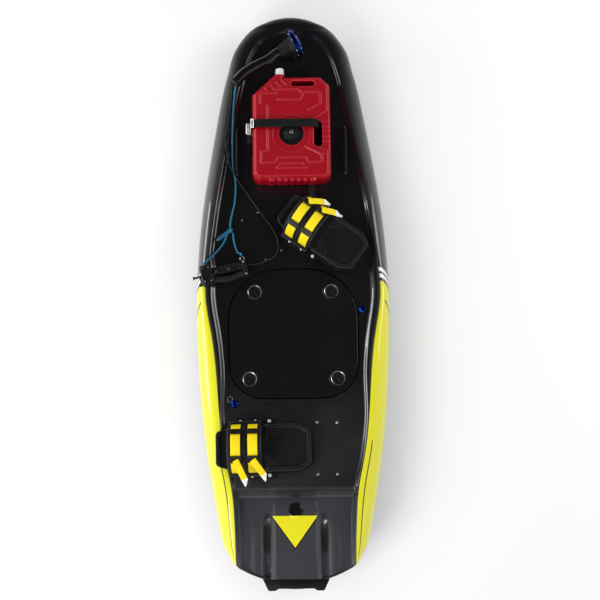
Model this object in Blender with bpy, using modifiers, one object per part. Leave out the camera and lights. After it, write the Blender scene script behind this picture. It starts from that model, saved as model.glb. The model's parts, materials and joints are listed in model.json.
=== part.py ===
"""A motorised surfboard with a petrol jet drive, in metres.

The board frame has +X to starboard, +Y to the nose and +Z up from the flat planing bottom,
with Y 0 near mid length. The stance empty lays the board down on its fins and its bottom.
"""

import math

import bmesh
import bpy
from mathutils import Matrix, Vector

# Overall sizes of the moulded board
NOSE_Y = 0.915
TRANSOM_Y = -0.905
LENGTH = NOSE_Y - TRANSOM_Y
HALF_BEAM = 0.313
DECK_Z = 0.142
NOSE_ROCKER = 0.155
ROCKER_START_Y = 0.05
NOSE_RISE = 0.058
RISE_START_Y = 0.335
CREST_RISE = 0.012
CREST_WALL = 0.016
EDGE_LAND = 0.006
STATION_PITCH = 0.074

# Clearances
SEAT_GAP = 0.0003
RUNNING_GAP = 0.005
CUT_OVERRUN = 0.02
FLAT_ANGLE = math.radians(0.5)

# Tail of the deck
TAIL_DROP = 0.034
STEP_Y = -0.651
STEP_RUN = 0.024
CREST_FALL = 0.036
CREST_FALL_START_Y = -0.60
CREST_FALL_END_Y = -0.88
HUMP_RISE = 0.008
HUMP_HALF = 0.060
HUMP_EDGE = 0.013
HUMP_FRONT_Y = -0.668
HUMP_RUN = 0.020
GROOVE_DEPTH = 0.014
GROOVE_X = 0.087
GROOVE_FRONT_Y = -0.715
GROOVE_RUN = 0.045
RIDGE_RISE = 0.006
RIDGE_X = 0.118
RIDGE_HALF = 0.006

# Hatch over the engine bay
HATCH_FRONT_Y = 0.049
HATCH_REAR_Y = -0.370
HATCH_HALF = 0.209
HATCH_REAR_HALF = 0.204
HATCH_FRONT_RADIUS = 0.160
HATCH_REAR_RADIUS = 0.115
LID_THICKNESS = 0.008
SEAL_THICKNESS = 0.003
SEAL_WIDTH = 0.010
LEDGE_WIDTH = 0.018
BAY_FLOOR_Z = 0.020
LATCH_RADIUS = 0.0275
LATCH_X = 0.122
LATCH_REAR_X = 0.1375
LATCH_FRONT_Y = -0.0275
LATCH_REAR_Y = -0.306
LATCH_BOSS_RADIUS = 0.019
LATCH_BOSS_DEPTH = 0.012
LATCH_DISH_DEPTH = 0.005

# Engine, one plain block in the bay
ENGINE_WIDTH = 0.240
ENGINE_LENGTH = 0.260
ENGINE_HEIGHT = 0.085
ENGINE_Y = -0.175

# Jet pump
PUMP_Z = 0.056
PUMP_BORE = 0.040
PUMP_WALL = 0.003
PUMP_FRONT_Y = -0.655
NOZZLE_BORE = 0.027
NOZZLE_START_Y = -0.815
NOZZLE_REACH = 0.022
INTAKE_SLOPE = math.radians(22)
INTAKE_RADIUS = 0.042
INTAKE_BEND = 0.100
SHAFT_RADIUS = 0.007
IMPELLER_Y = -0.700
IMPELLER_LENGTH = 0.046
IMPELLER_HUB = 0.013
IMPELLER_BLADES = 4
IMPELLER_SWEEP = math.radians(115)
BLADE_THICKNESS = 0.0025
STATOR_Y = -0.765
STATOR_LENGTH = 0.040
STATOR_VANES = 5
GRATE_LENGTH = 0.270
GRATE_WIDTH = 0.112
GRATE_THICKNESS = 0.005
GRATE_RIM = 0.012
GRATE_BARS = 4
GRATE_BAR_WIDTH = 0.006

# Shroud round the nozzle at the transom
SHROUD_FRONT_HALF = 0.101
SHROUD_REAR_HALF = 0.084
SHROUD_LENGTH = 0.034
SHROUD_BOTTOM_Z = 0.010
SHROUD_HEIGHT = 0.086
SHROUD_RADIUS = 0.008

# Fins
FIN_X = 0.130
FIN_Y = -0.752
FIN_CHORD = 0.120
FIN_DEPTH = 0.075
FIN_THICKNESS = 0.007
FIN_RAKE = 0.040
FIN_TIP_CHORD = 0.030
FIN_BASE_LENGTH = 0.132
FIN_BASE_WIDTH = 0.024
FIN_BASE_DEPTH = 0.006

# Outline and crest of the board, as shares of its length from the transom and of its half beam
OUTLINE_SHARES = (
    (0.000, 0.319), (0.0093, 0.460), (0.0220, 0.591), (0.0412, 0.668), (0.0604, 0.719),
    (0.119, 0.789), (0.199, 0.872), (0.281, 0.933), (0.365, 0.974), (0.473, 1.000),
    (0.585, 0.974), (0.672, 0.920), (0.762, 0.837), (0.856, 0.735), (0.901, 0.668),
    (0.935, 0.610), (0.9654, 0.492), (0.9802, 0.396), (0.9879, 0.304), (0.9951, 0.190), (1.000, 0.000),
)
CREST_SHARES = (
    (-0.010, 0.560), (0.025, 0.575), (0.134, 0.607), (0.225, 0.709), (0.376, 0.805),
    (0.480, 0.898), (0.571, 0.845), (0.645, 0.792), (0.738, 0.703), (0.833, 0.591),
    (0.891, 0.511), (0.930, 0.422), (0.957, 0.288), (0.974, 0.000),
)
FLAT_BOTTOM_SHARE = 0.68
RAIL_SHARE = 0.5
NOSE_CUT_SHARE = 0.86
CURVE_STEPS = 12
CHINE_STEPS = 5
RAIL_STEPS = 4
ARC_STEPS = 7
ROUND_STEPS = 24

# Tail plug and deck plugs
TAIL_PLUG_RADIUS = 0.024
TAIL_PLUG_HEIGHT = 0.004
TAIL_PLUG_Y = -0.706
DECK_PLUG_RADIUS = 0.012
DECK_PLUG_HEIGHT = 0.007
DECK_PLUG_PLACES = {"deck_plug_right": (0.2205, -0.088), "deck_plug_left": (-0.184, -0.384)}

# Nose mount and flexible arm
HUB_PLACE = (0.018, 0.790)
HUB_LEAN = Vector((-0.885, -0.420, -0.150)).normalized()
HUB_RADIUS = 0.047
HUB_THICKNESS = 0.014
HUB_DOME = 0.008
HUB_FLOOR_GAP = 0.010
FOOT_WIDTH = 0.030
FOOT_LENGTH = 0.062
FOOT_CORNER = 0.003
BOOT_LENGTH = 0.052
BOOT_BASE = 0.036
BOOT_NECK = 0.019
BOOT_RINGS = 4
BOOT_RING_DEPTH = 0.0025
SLEEVE_RADIUS = 0.0175
CUFF_RADIUS = 0.0195
CUFF_LENGTH = 0.014
ROPE_RADIUS = 0.0030
CABLE_RADIUS = 0.0022

# Tow handle
HANDLE_PLACE = (-0.272, 0.020)
HANDLE_TURN = math.radians(14)
HANDLE_DIP = math.radians(6)
BLOCK_WIDTH = 0.036
BLOCK_LENGTH = 0.064
BLOCK_HEIGHT = 0.034
BLOCK_CORNER = 0.006
GRIP_RADIUS = 0.011
GRIP_LENGTH = 0.098
GRIP_OFFSET = 0.020
BAR_RADIUS = 0.009
BAR_OFFSET = 0.010
END_WIDTH = 0.012
END_LENGTH = 0.052
END_HEIGHT = 0.026
LEVER_REACH = 0.026
LEVER_RADIUS = 0.004
LEVER_HEAD = 0.011
EYELET_RADIUS = 0.008

# Fuel can
CAN_PLACE = (0.0015, 0.485)
CAN_THICKNESS = 0.076
CAN_LEFT = -0.1275
CAN_RIGHT = 0.1275
CAN_BOTTOM = -0.155
CAN_TOP = 0.196
CAN_EDGE = 0.008
CAN_NECK_LEFT = -0.052
CAN_NECK_RIGHT = -0.021
CAN_NECK_TOP = 0.208
CAN_SHOULDER = 0.136
CAN_CORNER = 0.030
CAN_HOLE_RADIUS = 0.020
CAN_PLATE_RADIUS = 0.060
CAN_PLATE_THICKNESS = 0.005
STUD_RADIUS = 0.010
GRIP_SLOT_X = 0.087
GRIP_SLOT_WIDTH = 0.026
GRIP_SLOT_LENGTH = 0.088
TOP_SLOT_Y = 0.168
TOP_SLOT_WIDTH = 0.018
TOP_SLOT_LEFT = 0.000
TOP_SLOT_RIGHT = 0.078
CAP_RADIUS = 0.014
CAP_LENGTH = 0.022
KNOB_RADIUS = 0.027
KNOB_HEIGHT = 0.016
KNOB_LOBES = 6
KNOB_LOBE_DEPTH = 0.0035
STRAP_WIDTH = 0.024
STRAP_THICKNESS = 0.002
STRAP_Y = 0.030
BUCKLE_LENGTH = 0.034
BUCKLE_WIDTH = 0.022
BUCKLE_THICKNESS = 0.008

# Grab rails beside the can
RAIL_X = 0.178
RAIL_FRONT_Y = 0.518
RAIL_REAR_Y = 0.382
RAIL_RADIUS = 0.005
RAIL_HEIGHT = 0.016
RAIL_BEND = 0.018

# Foot bindings, along each foot from heel to toe
BINDING_LENGTH = 0.302
BASE_WIDTH = 0.150
BASE_THICKNESS = 0.0130
BASE_TOE = 0.093
FLANGE_FRONT = 0.088
FLANGE_SHORT = 0.056
FLANGE_REAR = -0.034
FLANGE_REACH = 0.090
PAD_THICKNESS = 0.014
PAD_MARGIN = 0.006
HEEL_WIDTH = 0.142
TOE_WIDTH = 0.112
RIM_HEIGHT = 0.022
RIM_WIDTH = 0.012
ARCH_HALF = 0.064
ARCH_HEIGHT = 0.078
ARCH_THICKNESS = 0.006
ARCH_FRONT = 0.108
ARCH_REAR = 0.004
BAND_WIDTH = 0.029
BAND_THICKNESS = 0.0022
BAND_PLACES = (0.031, 0.082)
BAND_NAMES = ("instep", "toe")
CLIP_LENGTH = 0.018
CLIP_WIDTH = 0.034
CLIP_THICKNESS = 0.006
BINDINGS = {
    "binding_front": ((0.097, 0.162), math.radians(144), 1),
    "binding_rear": ((-0.0945, -0.520), math.radians(181), -1),
}

MATERIALS = {
    "carbon": ((0.020, 0.020, 0.022), 0.18, 0.0),
    "yellow_panel": ((0.84, 0.80, 0.05), 0.25, 0.0),
    "satin_black": ((0.022, 0.022, 0.024), 0.45, 0.0),
    "black_rubber": ((0.020, 0.020, 0.022), 0.75, 0.0),
    "foam_pad": ((0.035, 0.036, 0.040), 0.85, 0.0),
    "strap_yellow": ((0.90, 0.78, 0.04), 0.55, 0.0),
    "black_webbing": ((0.018, 0.018, 0.020), 0.80, 0.0),
    "can_red": ((0.42, 0.006, 0.022), 0.42, 0.0),
    "blue_anodised": ((0.010, 0.060, 0.300), 0.28, 0.9),
    "rope_blue": ((0.010, 0.300, 0.550), 0.70, 0.0),
    "bright_metal": ((0.70, 0.70, 0.72), 0.25, 1.0),
    "pump_metal": ((0.45, 0.46, 0.48), 0.35, 1.0),
    "engine_metal": ((0.32, 0.33, 0.34), 0.50, 0.8),
    "white_plastic": ((0.80, 0.80, 0.80), 0.45, 0.0),
}


for old_object in list(bpy.data.objects):
    bpy.data.objects.remove(old_object)
PARTS = bpy.data.collections.new("motorised_surfboard")
CUTTERS = bpy.data.collections.new("cutters")
bpy.context.scene.collection.children.link(PARTS)
bpy.context.scene.collection.children.link(CUTTERS)


def material(name):
    """The named Principled material, made once."""
    if name in bpy.data.materials:
        return bpy.data.materials[name]
    colour, roughness, metallic = MATERIALS[name]
    made = bpy.data.materials.new(name)
    made.use_nodes = True
    shader = made.node_tree.nodes["Principled BSDF"]
    shader.inputs["Base Color"].default_value = (*colour, 1.0)
    shader.inputs["Roughness"].default_value = roughness
    shader.inputs["Metallic"].default_value = metallic
    made.diffuse_color = (*colour, 1.0)
    return made


def new_empty(name, parent=None, location=(0, 0, 0), rotation=(0, 0, 0)):
    empty = bpy.data.objects.new(name, None)
    PARTS.objects.link(empty)
    empty.parent = parent
    empty.location = location
    empty.rotation_euler = rotation
    return empty


STANCE = new_empty("stance")


def add_object(name, data, slot, parent=STANCE, location=(0, 0, 0), rotation=(0, 0, 0)):
    """Links new data as a part, or as a cutter when it has no material slot."""
    obj = bpy.data.objects.new(name, data)
    obj.location = location
    obj.rotation_euler = rotation
    obj.parent = parent
    if slot is None:
        CUTTERS.objects.link(obj)
        obj.hide_render = True
        obj.display_type = "WIRE"
    else:
        PARTS.objects.link(obj)
        data.materials.append(material(slot))
    return obj


def face_out(bm):
    """Points every face of a closed body outward."""
    bmesh.ops.recalc_face_normals(bm, faces=bm.faces)
    if bm.calc_volume(signed=True) < 0:
        bmesh.ops.reverse_faces(bm, faces=bm.faces)


def mesh_from(name, bm):
    """Turns a finished bmesh into mesh data with its faces pointing out."""
    face_out(bm)
    mesh = bpy.data.meshes.new(name)
    bm.to_mesh(mesh)
    bm.free()
    return mesh


def smooth_shade(obj, angle=math.radians(35)):
    obj.data.shade_smooth()
    obj.data.set_sharp_from_angle(angle=angle)
    return obj


def ease(start, end, value):
    """0 before start and 1 after end, with a smooth rise between them."""
    share = min(1, max(0, (value - start) / (end - start)))
    return share * share * (3 - 2 * share)


def spline_points(points, steps):
    """Points on a Catmull-Rom curve that passes through the given ones."""
    points = [Vector(point) for point in points]
    before = [points[0] * 2 - points[1]] + points + [points[-1] * 2 - points[-2]]
    found = []
    for i in range(len(points) - 1):
        a, b, c, d = before[i:i + 4]
        for k in range(steps):
            t = k / steps
            found.append(
                0.5 * (2 * b + (c - a) * t + (2 * a - 5 * b + 4 * c - d) * t * t
                       + (3 * b - a - 3 * c + d) * t * t * t)
            )
    found.append(points[-1])
    return found


def interpolate(curve, y):
    """The width of a curve of (y, width) points at a given y."""
    if y <= curve[0][0]:
        return curve[0][1]
    for low, high in zip(curve, curve[1:]):
        if low[0] <= y <= high[0] and high[0] > low[0]:
            return low[1] + (high[1] - low[1]) * (y - low[0]) / (high[0] - low[0])
    return curve[-1][1]


def plan_curve(shares, steps, mirrored_end):
    """A width curve along the board, rounded at the nose by its mirrored neighbour."""
    points = [(TRANSOM_Y + LENGTH * t, HALF_BEAM * w) for t, w in shares]
    if mirrored_end:
        points.append((points[-2][0], -points[-2][1]))
    curve = spline_points([(y, w, 0) for y, w in points], steps)
    if mirrored_end:
        curve = curve[:-steps]
    return [(p.x, p.y) for p in curve]


OUTLINE = plan_curve(OUTLINE_SHARES, CURVE_STEPS, True)
CREST = plan_curve(CREST_SHARES, CURVE_STEPS, True)


def keel_height(y):
    share = max(0, (y - ROCKER_START_Y) / (NOSE_Y - ROCKER_START_Y))
    return NOSE_ROCKER * share * share


def main_deck_height(y):
    share = max(0, (y - RISE_START_Y) / (NOSE_Y - RISE_START_Y))
    return DECK_Z + NOSE_RISE * share * math.sqrt(share)


def deck_height(y):
    step = ease(STEP_Y + STEP_RUN / 2, STEP_Y - STEP_RUN / 2, y)
    return main_deck_height(y) - TAIL_DROP * step


def crest_height(y):
    fall = ease(CREST_FALL_START_Y, CREST_FALL_END_Y, y)
    return main_deck_height(y) + CREST_RISE - CREST_FALL * fall


def rail_height(y):
    keel = keel_height(y)
    return keel + RAIL_SHARE * (crest_height(y) - keel)


def make_stations():
    """Places along the board for its cross-sections, closer where its shape changes."""
    wanted = [
        STEP_Y + STEP_RUN / 2, STEP_Y, STEP_Y - STEP_RUN / 2,
        HUMP_FRONT_Y - HUMP_RUN, GROOVE_FRONT_Y,
        GROOVE_FRONT_Y - GROOVE_RUN / 2, GROOVE_FRONT_Y - GROOVE_RUN,
    ]
    last = OUTLINE[0]
    chosen = [last[0]]
    nose_tip = len(OUTLINE) - 1 - round(CURVE_STEPS * (1 - NOSE_CUT_SHARE) * 3)
    for point in OUTLINE[1:nose_tip]:
        if math.dist(point, last) > STATION_PITCH or (
            point[0] > NOSE_Y - STATION_PITCH * 2 and math.dist(point, last) > STATION_PITCH / 4
        ) or (point[0] < TRANSOM_Y + STATION_PITCH and math.dist(point, last) > STATION_PITCH / 4):
            chosen.append(point[0])
            last = point
    chosen.append(OUTLINE[nose_tip][0])
    chosen = [y for y in chosen if min(abs(y - w) for w in wanted) > STEP_RUN / 4]
    return sorted(chosen + wanted)


STATIONS = make_stations()


def deck_surface(y):
    """The recessed deck's height, straight between the stations as the moulding is."""
    heights = [(s, deck_height(s)) for s in STATIONS]
    return interpolate(heights, y)


def loft(name, rings, slot):
    """One closed body through rings that have the same number of points."""
    bm = bmesh.new()
    rows = [[bm.verts.new(point) for point in ring] for ring in rings]
    for low, high in zip(rows, rows[1:]):
        for i in range(len(low)):
            j = (i + 1) % len(low)
            bm.faces.new((low[i], low[j], high[j], high[i]))
    bm.faces.new(rows[0])
    bm.faces.new(rows[-1])
    return add_object(name, mesh_from(name, bm), slot)


def mirrored_ring(half, y):
    """A whole section from the points of its starboard half, which starts at the centre line."""
    port = [(-x, y, z) for x, z in half if x > 0]
    return [(x, y, z) for x, z in half] + port[::-1]


def rounded(corners, steps=ARC_STEPS):
    """An outline from (x, y, radius) corners, with an arc at each."""
    found = []
    for i, (x, y, radius) in enumerate(corners):
        corner = Vector((x, y))
        before = Vector(corners[i - 1][:2]) - corner
        after = Vector(corners[(i + 1) % len(corners)][:2]) - corner
        before.normalize()
        after.normalize()
        if radius <= 0:
            found.append((x, y))
            continue
        opening = before.angle(after)
        reach = radius / math.tan(opening / 2)
        centre = corner + (before + after).normalized() * (radius / math.sin(opening / 2))
        start = corner + before * reach - centre
        end = corner + after * reach - centre
        turn = start.angle_signed(end)
        for k in range(steps + 1):
            point = centre + Matrix.Rotation(-turn * k / steps, 2) @ start
            found.append((point.x, point.y))
    return found


def circle(x, y, radius, steps=ROUND_STEPS):
    turns = [2 * math.pi * k / steps for k in range(steps)]
    return [(x + radius * math.cos(a), y + radius * math.sin(a)) for a in turns]


def as_mesh(obj):
    """The same piece with mesh data, welded, in place of its curve."""
    bpy.context.view_layer.update()
    graph = bpy.context.evaluated_depsgraph_get()
    data_is_flat = obj.data.dimensions == "2D"
    mesh = bpy.data.meshes.new_from_object(obj.evaluated_get(graph))
    bm = bmesh.new()
    bm.from_mesh(mesh)
    bmesh.ops.remove_doubles(bm, verts=bm.verts, dist=SEAT_GAP / 10)
    if data_is_flat:
        bmesh.ops.dissolve_limit(bm, angle_limit=FLAT_ANGLE, verts=bm.verts, edges=bm.edges)
    face_out(bm)
    bm.to_mesh(mesh)
    bm.free()
    name = obj.name
    made = bpy.data.objects.new(name, mesh)
    for collection in obj.users_collection:
        collection.objects.link(made)
    made.parent = obj.parent
    made.location = obj.location
    made.rotation_euler = obj.rotation_euler
    made.hide_render = obj.hide_render
    made.display_type = obj.display_type
    bpy.data.objects.remove(obj)
    made.name = name
    return made


def plate(name, outlines, thickness, slot, parent=STANCE, location=(0, 0, 0), rotation=(0, 0, 0)):
    """A flat mesh piece from its outline and its holes, half its thickness each side of its place."""
    data = bpy.data.curves.new(name, "CURVE")
    data.dimensions = "2D"
    data.fill_mode = "BOTH"
    data.extrude = thickness / 2
    for outline in outlines:
        spline = data.splines.new("POLY")
        spline.points.add(len(outline) - 1)
        for point, (x, y) in zip(spline.points, outline):
            point.co = (x, y, 0, 1)
        spline.use_cyclic_u = True
    return as_mesh(add_object(name, data, slot, parent, location, rotation))


def bevel(obj, width, segments=2):
    change = obj.modifiers.new("edges", "BEVEL")
    change.width = width
    change.segments = segments
    change.limit_method = "ANGLE"
    change.angle_limit = math.radians(50)
    return obj


def combine(obj, other, operation="DIFFERENCE"):
    change = obj.modifiers.new(other.name, "BOOLEAN")
    change.operation = operation
    change.object = other
    change.solver = "EXACT"
    return obj


def turned(name, profile, slot, parent=STANCE, location=(0, 0, 0), rotation=(0, 0, 0),
           steps=ROUND_STEPS, closed=False):
    """A round piece from its (radius, height) profile, which runs down its outer side."""
    bm = bmesh.new()
    verts = [bm.verts.new((radius, 0, height)) for radius, height in profile]
    for low, high in zip(verts, verts[1:]):
        bm.edges.new((low, high))
    if closed:
        bm.edges.new((verts[-1], verts[0]))
    mesh = bpy.data.meshes.new(name)
    bm.to_mesh(mesh)
    bm.free()
    obj = add_object(name, mesh, slot, parent, location, rotation)
    screw = obj.modifiers.new("turn", "SCREW")
    screw.steps = steps
    screw.render_steps = steps
    screw.use_merge_vertices = True
    screw.merge_threshold = SEAT_GAP / 10
    screw.use_smooth_shade = True
    return obj


def tube(name, points, radius, slot, parent=STANCE, sides=2, location=(0, 0, 0), rotation=(0, 0, 0)):
    """A round bar or cord along points, with its ends filled."""
    data = bpy.data.curves.new(name, "CURVE")
    data.dimensions = "3D"
    data.bevel_depth = radius
    data.bevel_resolution = sides
    data.use_fill_caps = True
    spline = data.splines.new("POLY")
    spline.points.add(len(points) - 1)
    for point, place in zip(spline.points, points):
        point.co = (*place, 1)
    return add_object(name, data, slot, parent, location, rotation)


def facing(direction):
    """The rotation that turns a piece's own +Z to a direction."""
    return Vector(direction).to_track_quat("Z", "Y").to_euler()


def box(name, size, slot, parent=STANCE, location=(0, 0, 0), rotation=(0, 0, 0)):
    bm = bmesh.new()
    bmesh.ops.create_cube(bm, size=1)
    bmesh.ops.scale(bm, vec=size, verts=bm.verts)
    return add_object(name, mesh_from(name, bm), slot, parent, location, rotation)


# Hull and deck mouldings

def hull_ring(y):
    half = interpolate(OUTLINE, y)
    keel = keel_height(y)
    rail = rail_height(y)
    flat = half * FLAT_BOTTOM_SHARE
    section = [(0, keel)]
    for k in range(CHINE_STEPS + 1):
        turn = math.pi / 2 * k / CHINE_STEPS
        section.append((flat + (half - flat) * math.sin(turn), keel + (rail - keel) * (1 - math.cos(turn))))
    return mirrored_ring(section, y)


def deck_ring(y):
    half = interpolate(OUTLINE, y)
    crest_half = min(interpolate(CREST, y), half - EDGE_LAND)
    crest_half = max(crest_half, EDGE_LAND)
    inner = crest_half - min(CREST_WALL, crest_half / 2)
    floor = deck_height(y)
    crest = crest_height(y)
    rail = rail_height(y) + SEAT_GAP
    closing = ease(0, CREST_WALL * 4, crest_half - EDGE_LAND)
    floor = crest + (floor - crest) * closing
    hump = HUMP_RISE * ease(HUMP_FRONT_Y, HUMP_FRONT_Y - HUMP_RUN, y)
    groove = GROOVE_DEPTH * ease(GROOVE_FRONT_Y, GROOVE_FRONT_Y - GROOVE_RUN, y)
    ridge = RIDGE_RISE * ease(GROOVE_FRONT_Y, GROOVE_FRONT_Y - GROOVE_RUN, y)
    shape = [
        (0, hump), (HUMP_HALF, hump), (HUMP_HALF + HUMP_EDGE, 0), (GROOVE_X, -groove),
        (GROOVE_X + HUMP_EDGE, 0), (RIDGE_X - RIDGE_HALF, ridge), (RIDGE_X + RIDGE_HALF, ridge),
        (RIDGE_X + RIDGE_HALF + HUMP_EDGE, 0),
    ]
    section = []
    for i, (x, rise) in enumerate(shape):
        section.append((min(x, inner * i / len(shape)), floor + rise))
    section.append((inner, floor))
    for k in range(RAIL_STEPS + 1):
        turn = math.pi / 2 * (1 - k / RAIL_STEPS)
        section.append((crest_half + (half - crest_half) * math.cos(turn), rail + (crest - rail) * math.sin(turn)))
    return mirrored_ring(section, y)


def hatch_outline(inset):
    """The hatch's rounded outline, drawn in from the deck's recess."""
    front = HATCH_FRONT_Y - inset
    rear = HATCH_REAR_Y + inset
    half = HATCH_HALF - inset
    rear_half = HATCH_REAR_HALF - inset
    front_radius = HATCH_FRONT_RADIUS - inset
    rear_radius = HATCH_REAR_RADIUS - inset
    return rounded([
        (-rear_half, rear, rear_radius), (rear_half, rear, rear_radius),
        (half, front, front_radius), (-half, front, front_radius),
    ])


def latch_places():
    return (
        (-LATCH_X, LATCH_FRONT_Y), (LATCH_X, LATCH_FRONT_Y),
        (-LATCH_REAR_X, LATCH_REAR_Y), (LATCH_REAR_X, LATCH_REAR_Y),
    )


LEDGE_Z = DECK_Z - LID_THICKNESS - SEAL_THICKNESS - 2 * SEAT_GAP


def intake_line():
    """The duct's centre line, level at the pump and then down and forward through the bottom."""
    start = PUMP_FRONT_Y - CUT_OVERRUN
    fall = math.tan(INTAKE_SLOPE)
    whole = (PUMP_Z + 2 * INTAKE_RADIUS) / fall + INTAKE_BEND / 2
    points = [(0, start, PUMP_Z)]
    for k in range(1, CURVE_STEPS + 1):
        run = whole * k / CURVE_STEPS
        bent = min(run, INTAKE_BEND)
        drop = fall * (bent * bent / (2 * INTAKE_BEND) + run - bent)
        points.append((0, start + run, PUMP_Z - drop))
    return points


def upright_cutter(name, outline, low, high):
    return plate(name, [outline], high - low, None, location=(0, 0, (low + high) / 2))


def make_mouldings():
    hull = loft("hull_moulding", [hull_ring(y) for y in STATIONS], "carbon")
    deck = loft("deck_moulding", [deck_ring(y) for y in STATIONS], "carbon")
    recess = upright_cutter("cut_recess", hatch_outline(0), LEDGE_Z, DECK_Z + CUT_OVERRUN)
    bay = upright_cutter("cut_bay", hatch_outline(LEDGE_WIDTH), BAY_FLOOR_Z, DECK_Z)
    bore = PUMP_BORE + PUMP_WALL + SEAT_GAP
    axis = (0, 0, PUMP_Z)
    back = TRANSOM_Y - CUT_OVERRUN
    front = PUMP_FRONT_Y + SEAT_GAP
    pump = turned("cut_pump", [(0, front), (bore, front), (bore, back), (0, back)], None,
                  location=axis, rotation=(-math.pi / 2, 0, 0))
    ramp = as_mesh(tube("cut_ramp", intake_line(), INTAKE_RADIUS, None, sides=CHINE_STEPS))
    shaft = turned("cut_shaft", [(0, SHAFT_FRONT_Y + CUT_OVERRUN), (SHAFT_BORE, SHAFT_FRONT_Y + CUT_OVERRUN),
                                 (SHAFT_BORE, PUMP_FRONT_Y - CUT_OVERRUN), (0, PUMP_FRONT_Y - CUT_OVERRUN)],
                   None, location=axis, rotation=(-math.pi / 2, 0, 0), steps=CURVE_STEPS)
    grate = upright_cutter("cut_grate", grate_outline(-SEAT_GAP), -CUT_OVERRUN, GRATE_THICKNESS + 2 * SEAT_GAP)
    combine(deck, recess)
    for cutter in (bay, pump, ramp, shaft):
        combine(deck, cutter)
        combine(hull, cutter)
    combine(hull, grate)
    for side in (-1, 1):
        slot = box("cut_fin", (FIN_BASE_WIDTH + 2 * SEAT_GAP, FIN_BASE_LENGTH + 2 * SEAT_GAP,
                               2 * FIN_BASE_DEPTH), None, location=(side * FIN_X, FIN_Y, 0))
        combine(hull, slot)
    for piece in (hull, deck):
        smooth_shade(piece)


SHAFT_BORE = SHAFT_RADIUS + RUNNING_GAP
SHAFT_FRONT_Y = ENGINE_Y - ENGINE_LENGTH / 2


def stadium(length, width, inset=0, steps=ARC_STEPS // 2):
    """A slot's outline along Y, with round ends."""
    half = width / 2 - inset
    reach = length / 2 - inset
    return rounded([(-half, -reach, half), (half, -reach, half), (half, reach, half), (-half, reach, half)], steps)


GRATE_Y = -0.500


def grate_outline(inset):
    return [(x, y + GRATE_Y) for x, y in stadium(GRATE_LENGTH, GRATE_WIDTH, inset, ARC_STEPS)]


def make_hatch():
    holes = [circle(x, y, LATCH_RADIUS + 2 * SEAT_GAP, LATCH_STEPS) for x, y in latch_places()]
    lid_gap = RUNNING_GAP
    centre = DECK_Z - LID_THICKNESS / 2
    plate("hatch_lid", [hatch_outline(lid_gap), *holes], LID_THICKNESS, "carbon", location=(0, 0, centre))
    seal_outer = hatch_outline(lid_gap)
    seal_inner = hatch_outline(lid_gap + SEAL_WIDTH)
    seal_centre = LEDGE_Z + SEAT_GAP + SEAL_THICKNESS / 2
    plate("hatch_seal", [seal_outer, seal_inner], SEAL_THICKNESS, "black_rubber", location=(0, 0, seal_centre))
    bottom = -LATCH_BOSS_DEPTH - LID_THICKNESS
    dish = LATCH_RADIUS - LATCH_RIM
    profile = [
        (0, LATCH_KEY_RISE - LATCH_DISH_DEPTH), (LATCH_KEY, LATCH_KEY_RISE - LATCH_DISH_DEPTH),
        (LATCH_KEY, -LATCH_DISH_DEPTH), (dish, -LATCH_DISH_DEPTH), (dish, 0),
        (LATCH_RADIUS, 0), (LATCH_RADIUS, -LID_THICKNESS), (LATCH_BOSS_RADIUS, -LID_THICKNESS),
        (LATCH_BOSS_RADIUS, bottom), (0, bottom),
    ]
    for i, (x, y) in enumerate(latch_places()):
        turned(f"latch_{i + 1}", profile, "satin_black", location=(x, y, DECK_Z), steps=LATCH_STEPS)


LATCH_RIM = 0.004
LATCH_STEPS = 16
LATCH_KEY = 0.009
LATCH_KEY_RISE = 0.004


def make_engine():
    centre = BAY_FLOOR_Z + SEAT_GAP + ENGINE_HEIGHT / 2
    block = box("engine_block", (ENGINE_WIDTH, ENGINE_LENGTH, ENGINE_HEIGHT), "engine_metal",
                location=(0, ENGINE_Y, centre))
    bevel(block, RUNNING_GAP)


# Jet pump

def make_pump():
    along = (-math.pi / 2, 0, 0)
    outer = PUMP_BORE + PUMP_WALL
    end = TRANSOM_Y - NOZZLE_REACH
    lip = NOZZLE_BORE + PUMP_WALL
    profile = [
        (PUMP_BORE, PUMP_FRONT_Y), (outer, PUMP_FRONT_Y), (outer, TRANSOM_Y + 4 * PUMP_WALL),
        (lip, TRANSOM_Y + PUMP_WALL), (lip, end), (NOZZLE_BORE, end),
        (NOZZLE_BORE, (NOZZLE_START_Y + end) / 2), (PUMP_BORE, NOZZLE_START_Y),
    ]
    turned("pump_housing", profile, "pump_metal", location=(0, 0, PUMP_Z), rotation=along, closed=True)
    rotor = new_empty("pump_axis", STANCE, (0, IMPELLER_Y, PUMP_Z), along)
    half = IMPELLER_LENGTH / 2
    hole = SHAFT_RADIUS + SEAT_GAP
    hub = turned("impeller", [(hole, half), (IMPELLER_HUB, half), (IMPELLER_HUB, -half), (hole, -half)],
                 "bright_metal", rotor, closed=True)
    tip = PUMP_BORE - RUNNING_GAP
    for i in range(IMPELLER_BLADES):
        blade = blade_cutter(f"blade_{i + 1}", IMPELLER_HUB - BLADE_THICKNESS, tip, i * math.tau / IMPELLER_BLADES, rotor)
        combine(hub, blade, "UNION")
    front = SHAFT_FRONT_Y - SEAT_GAP - IMPELLER_Y
    rear = STATOR_Y + STATOR_LENGTH / 2 + RUNNING_GAP - IMPELLER_Y
    turned("drive_shaft", [(0, front), (SHAFT_RADIUS, front), (SHAFT_RADIUS, rear), (0, rear)],
           "bright_metal", rotor)
    make_stator(along)


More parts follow.
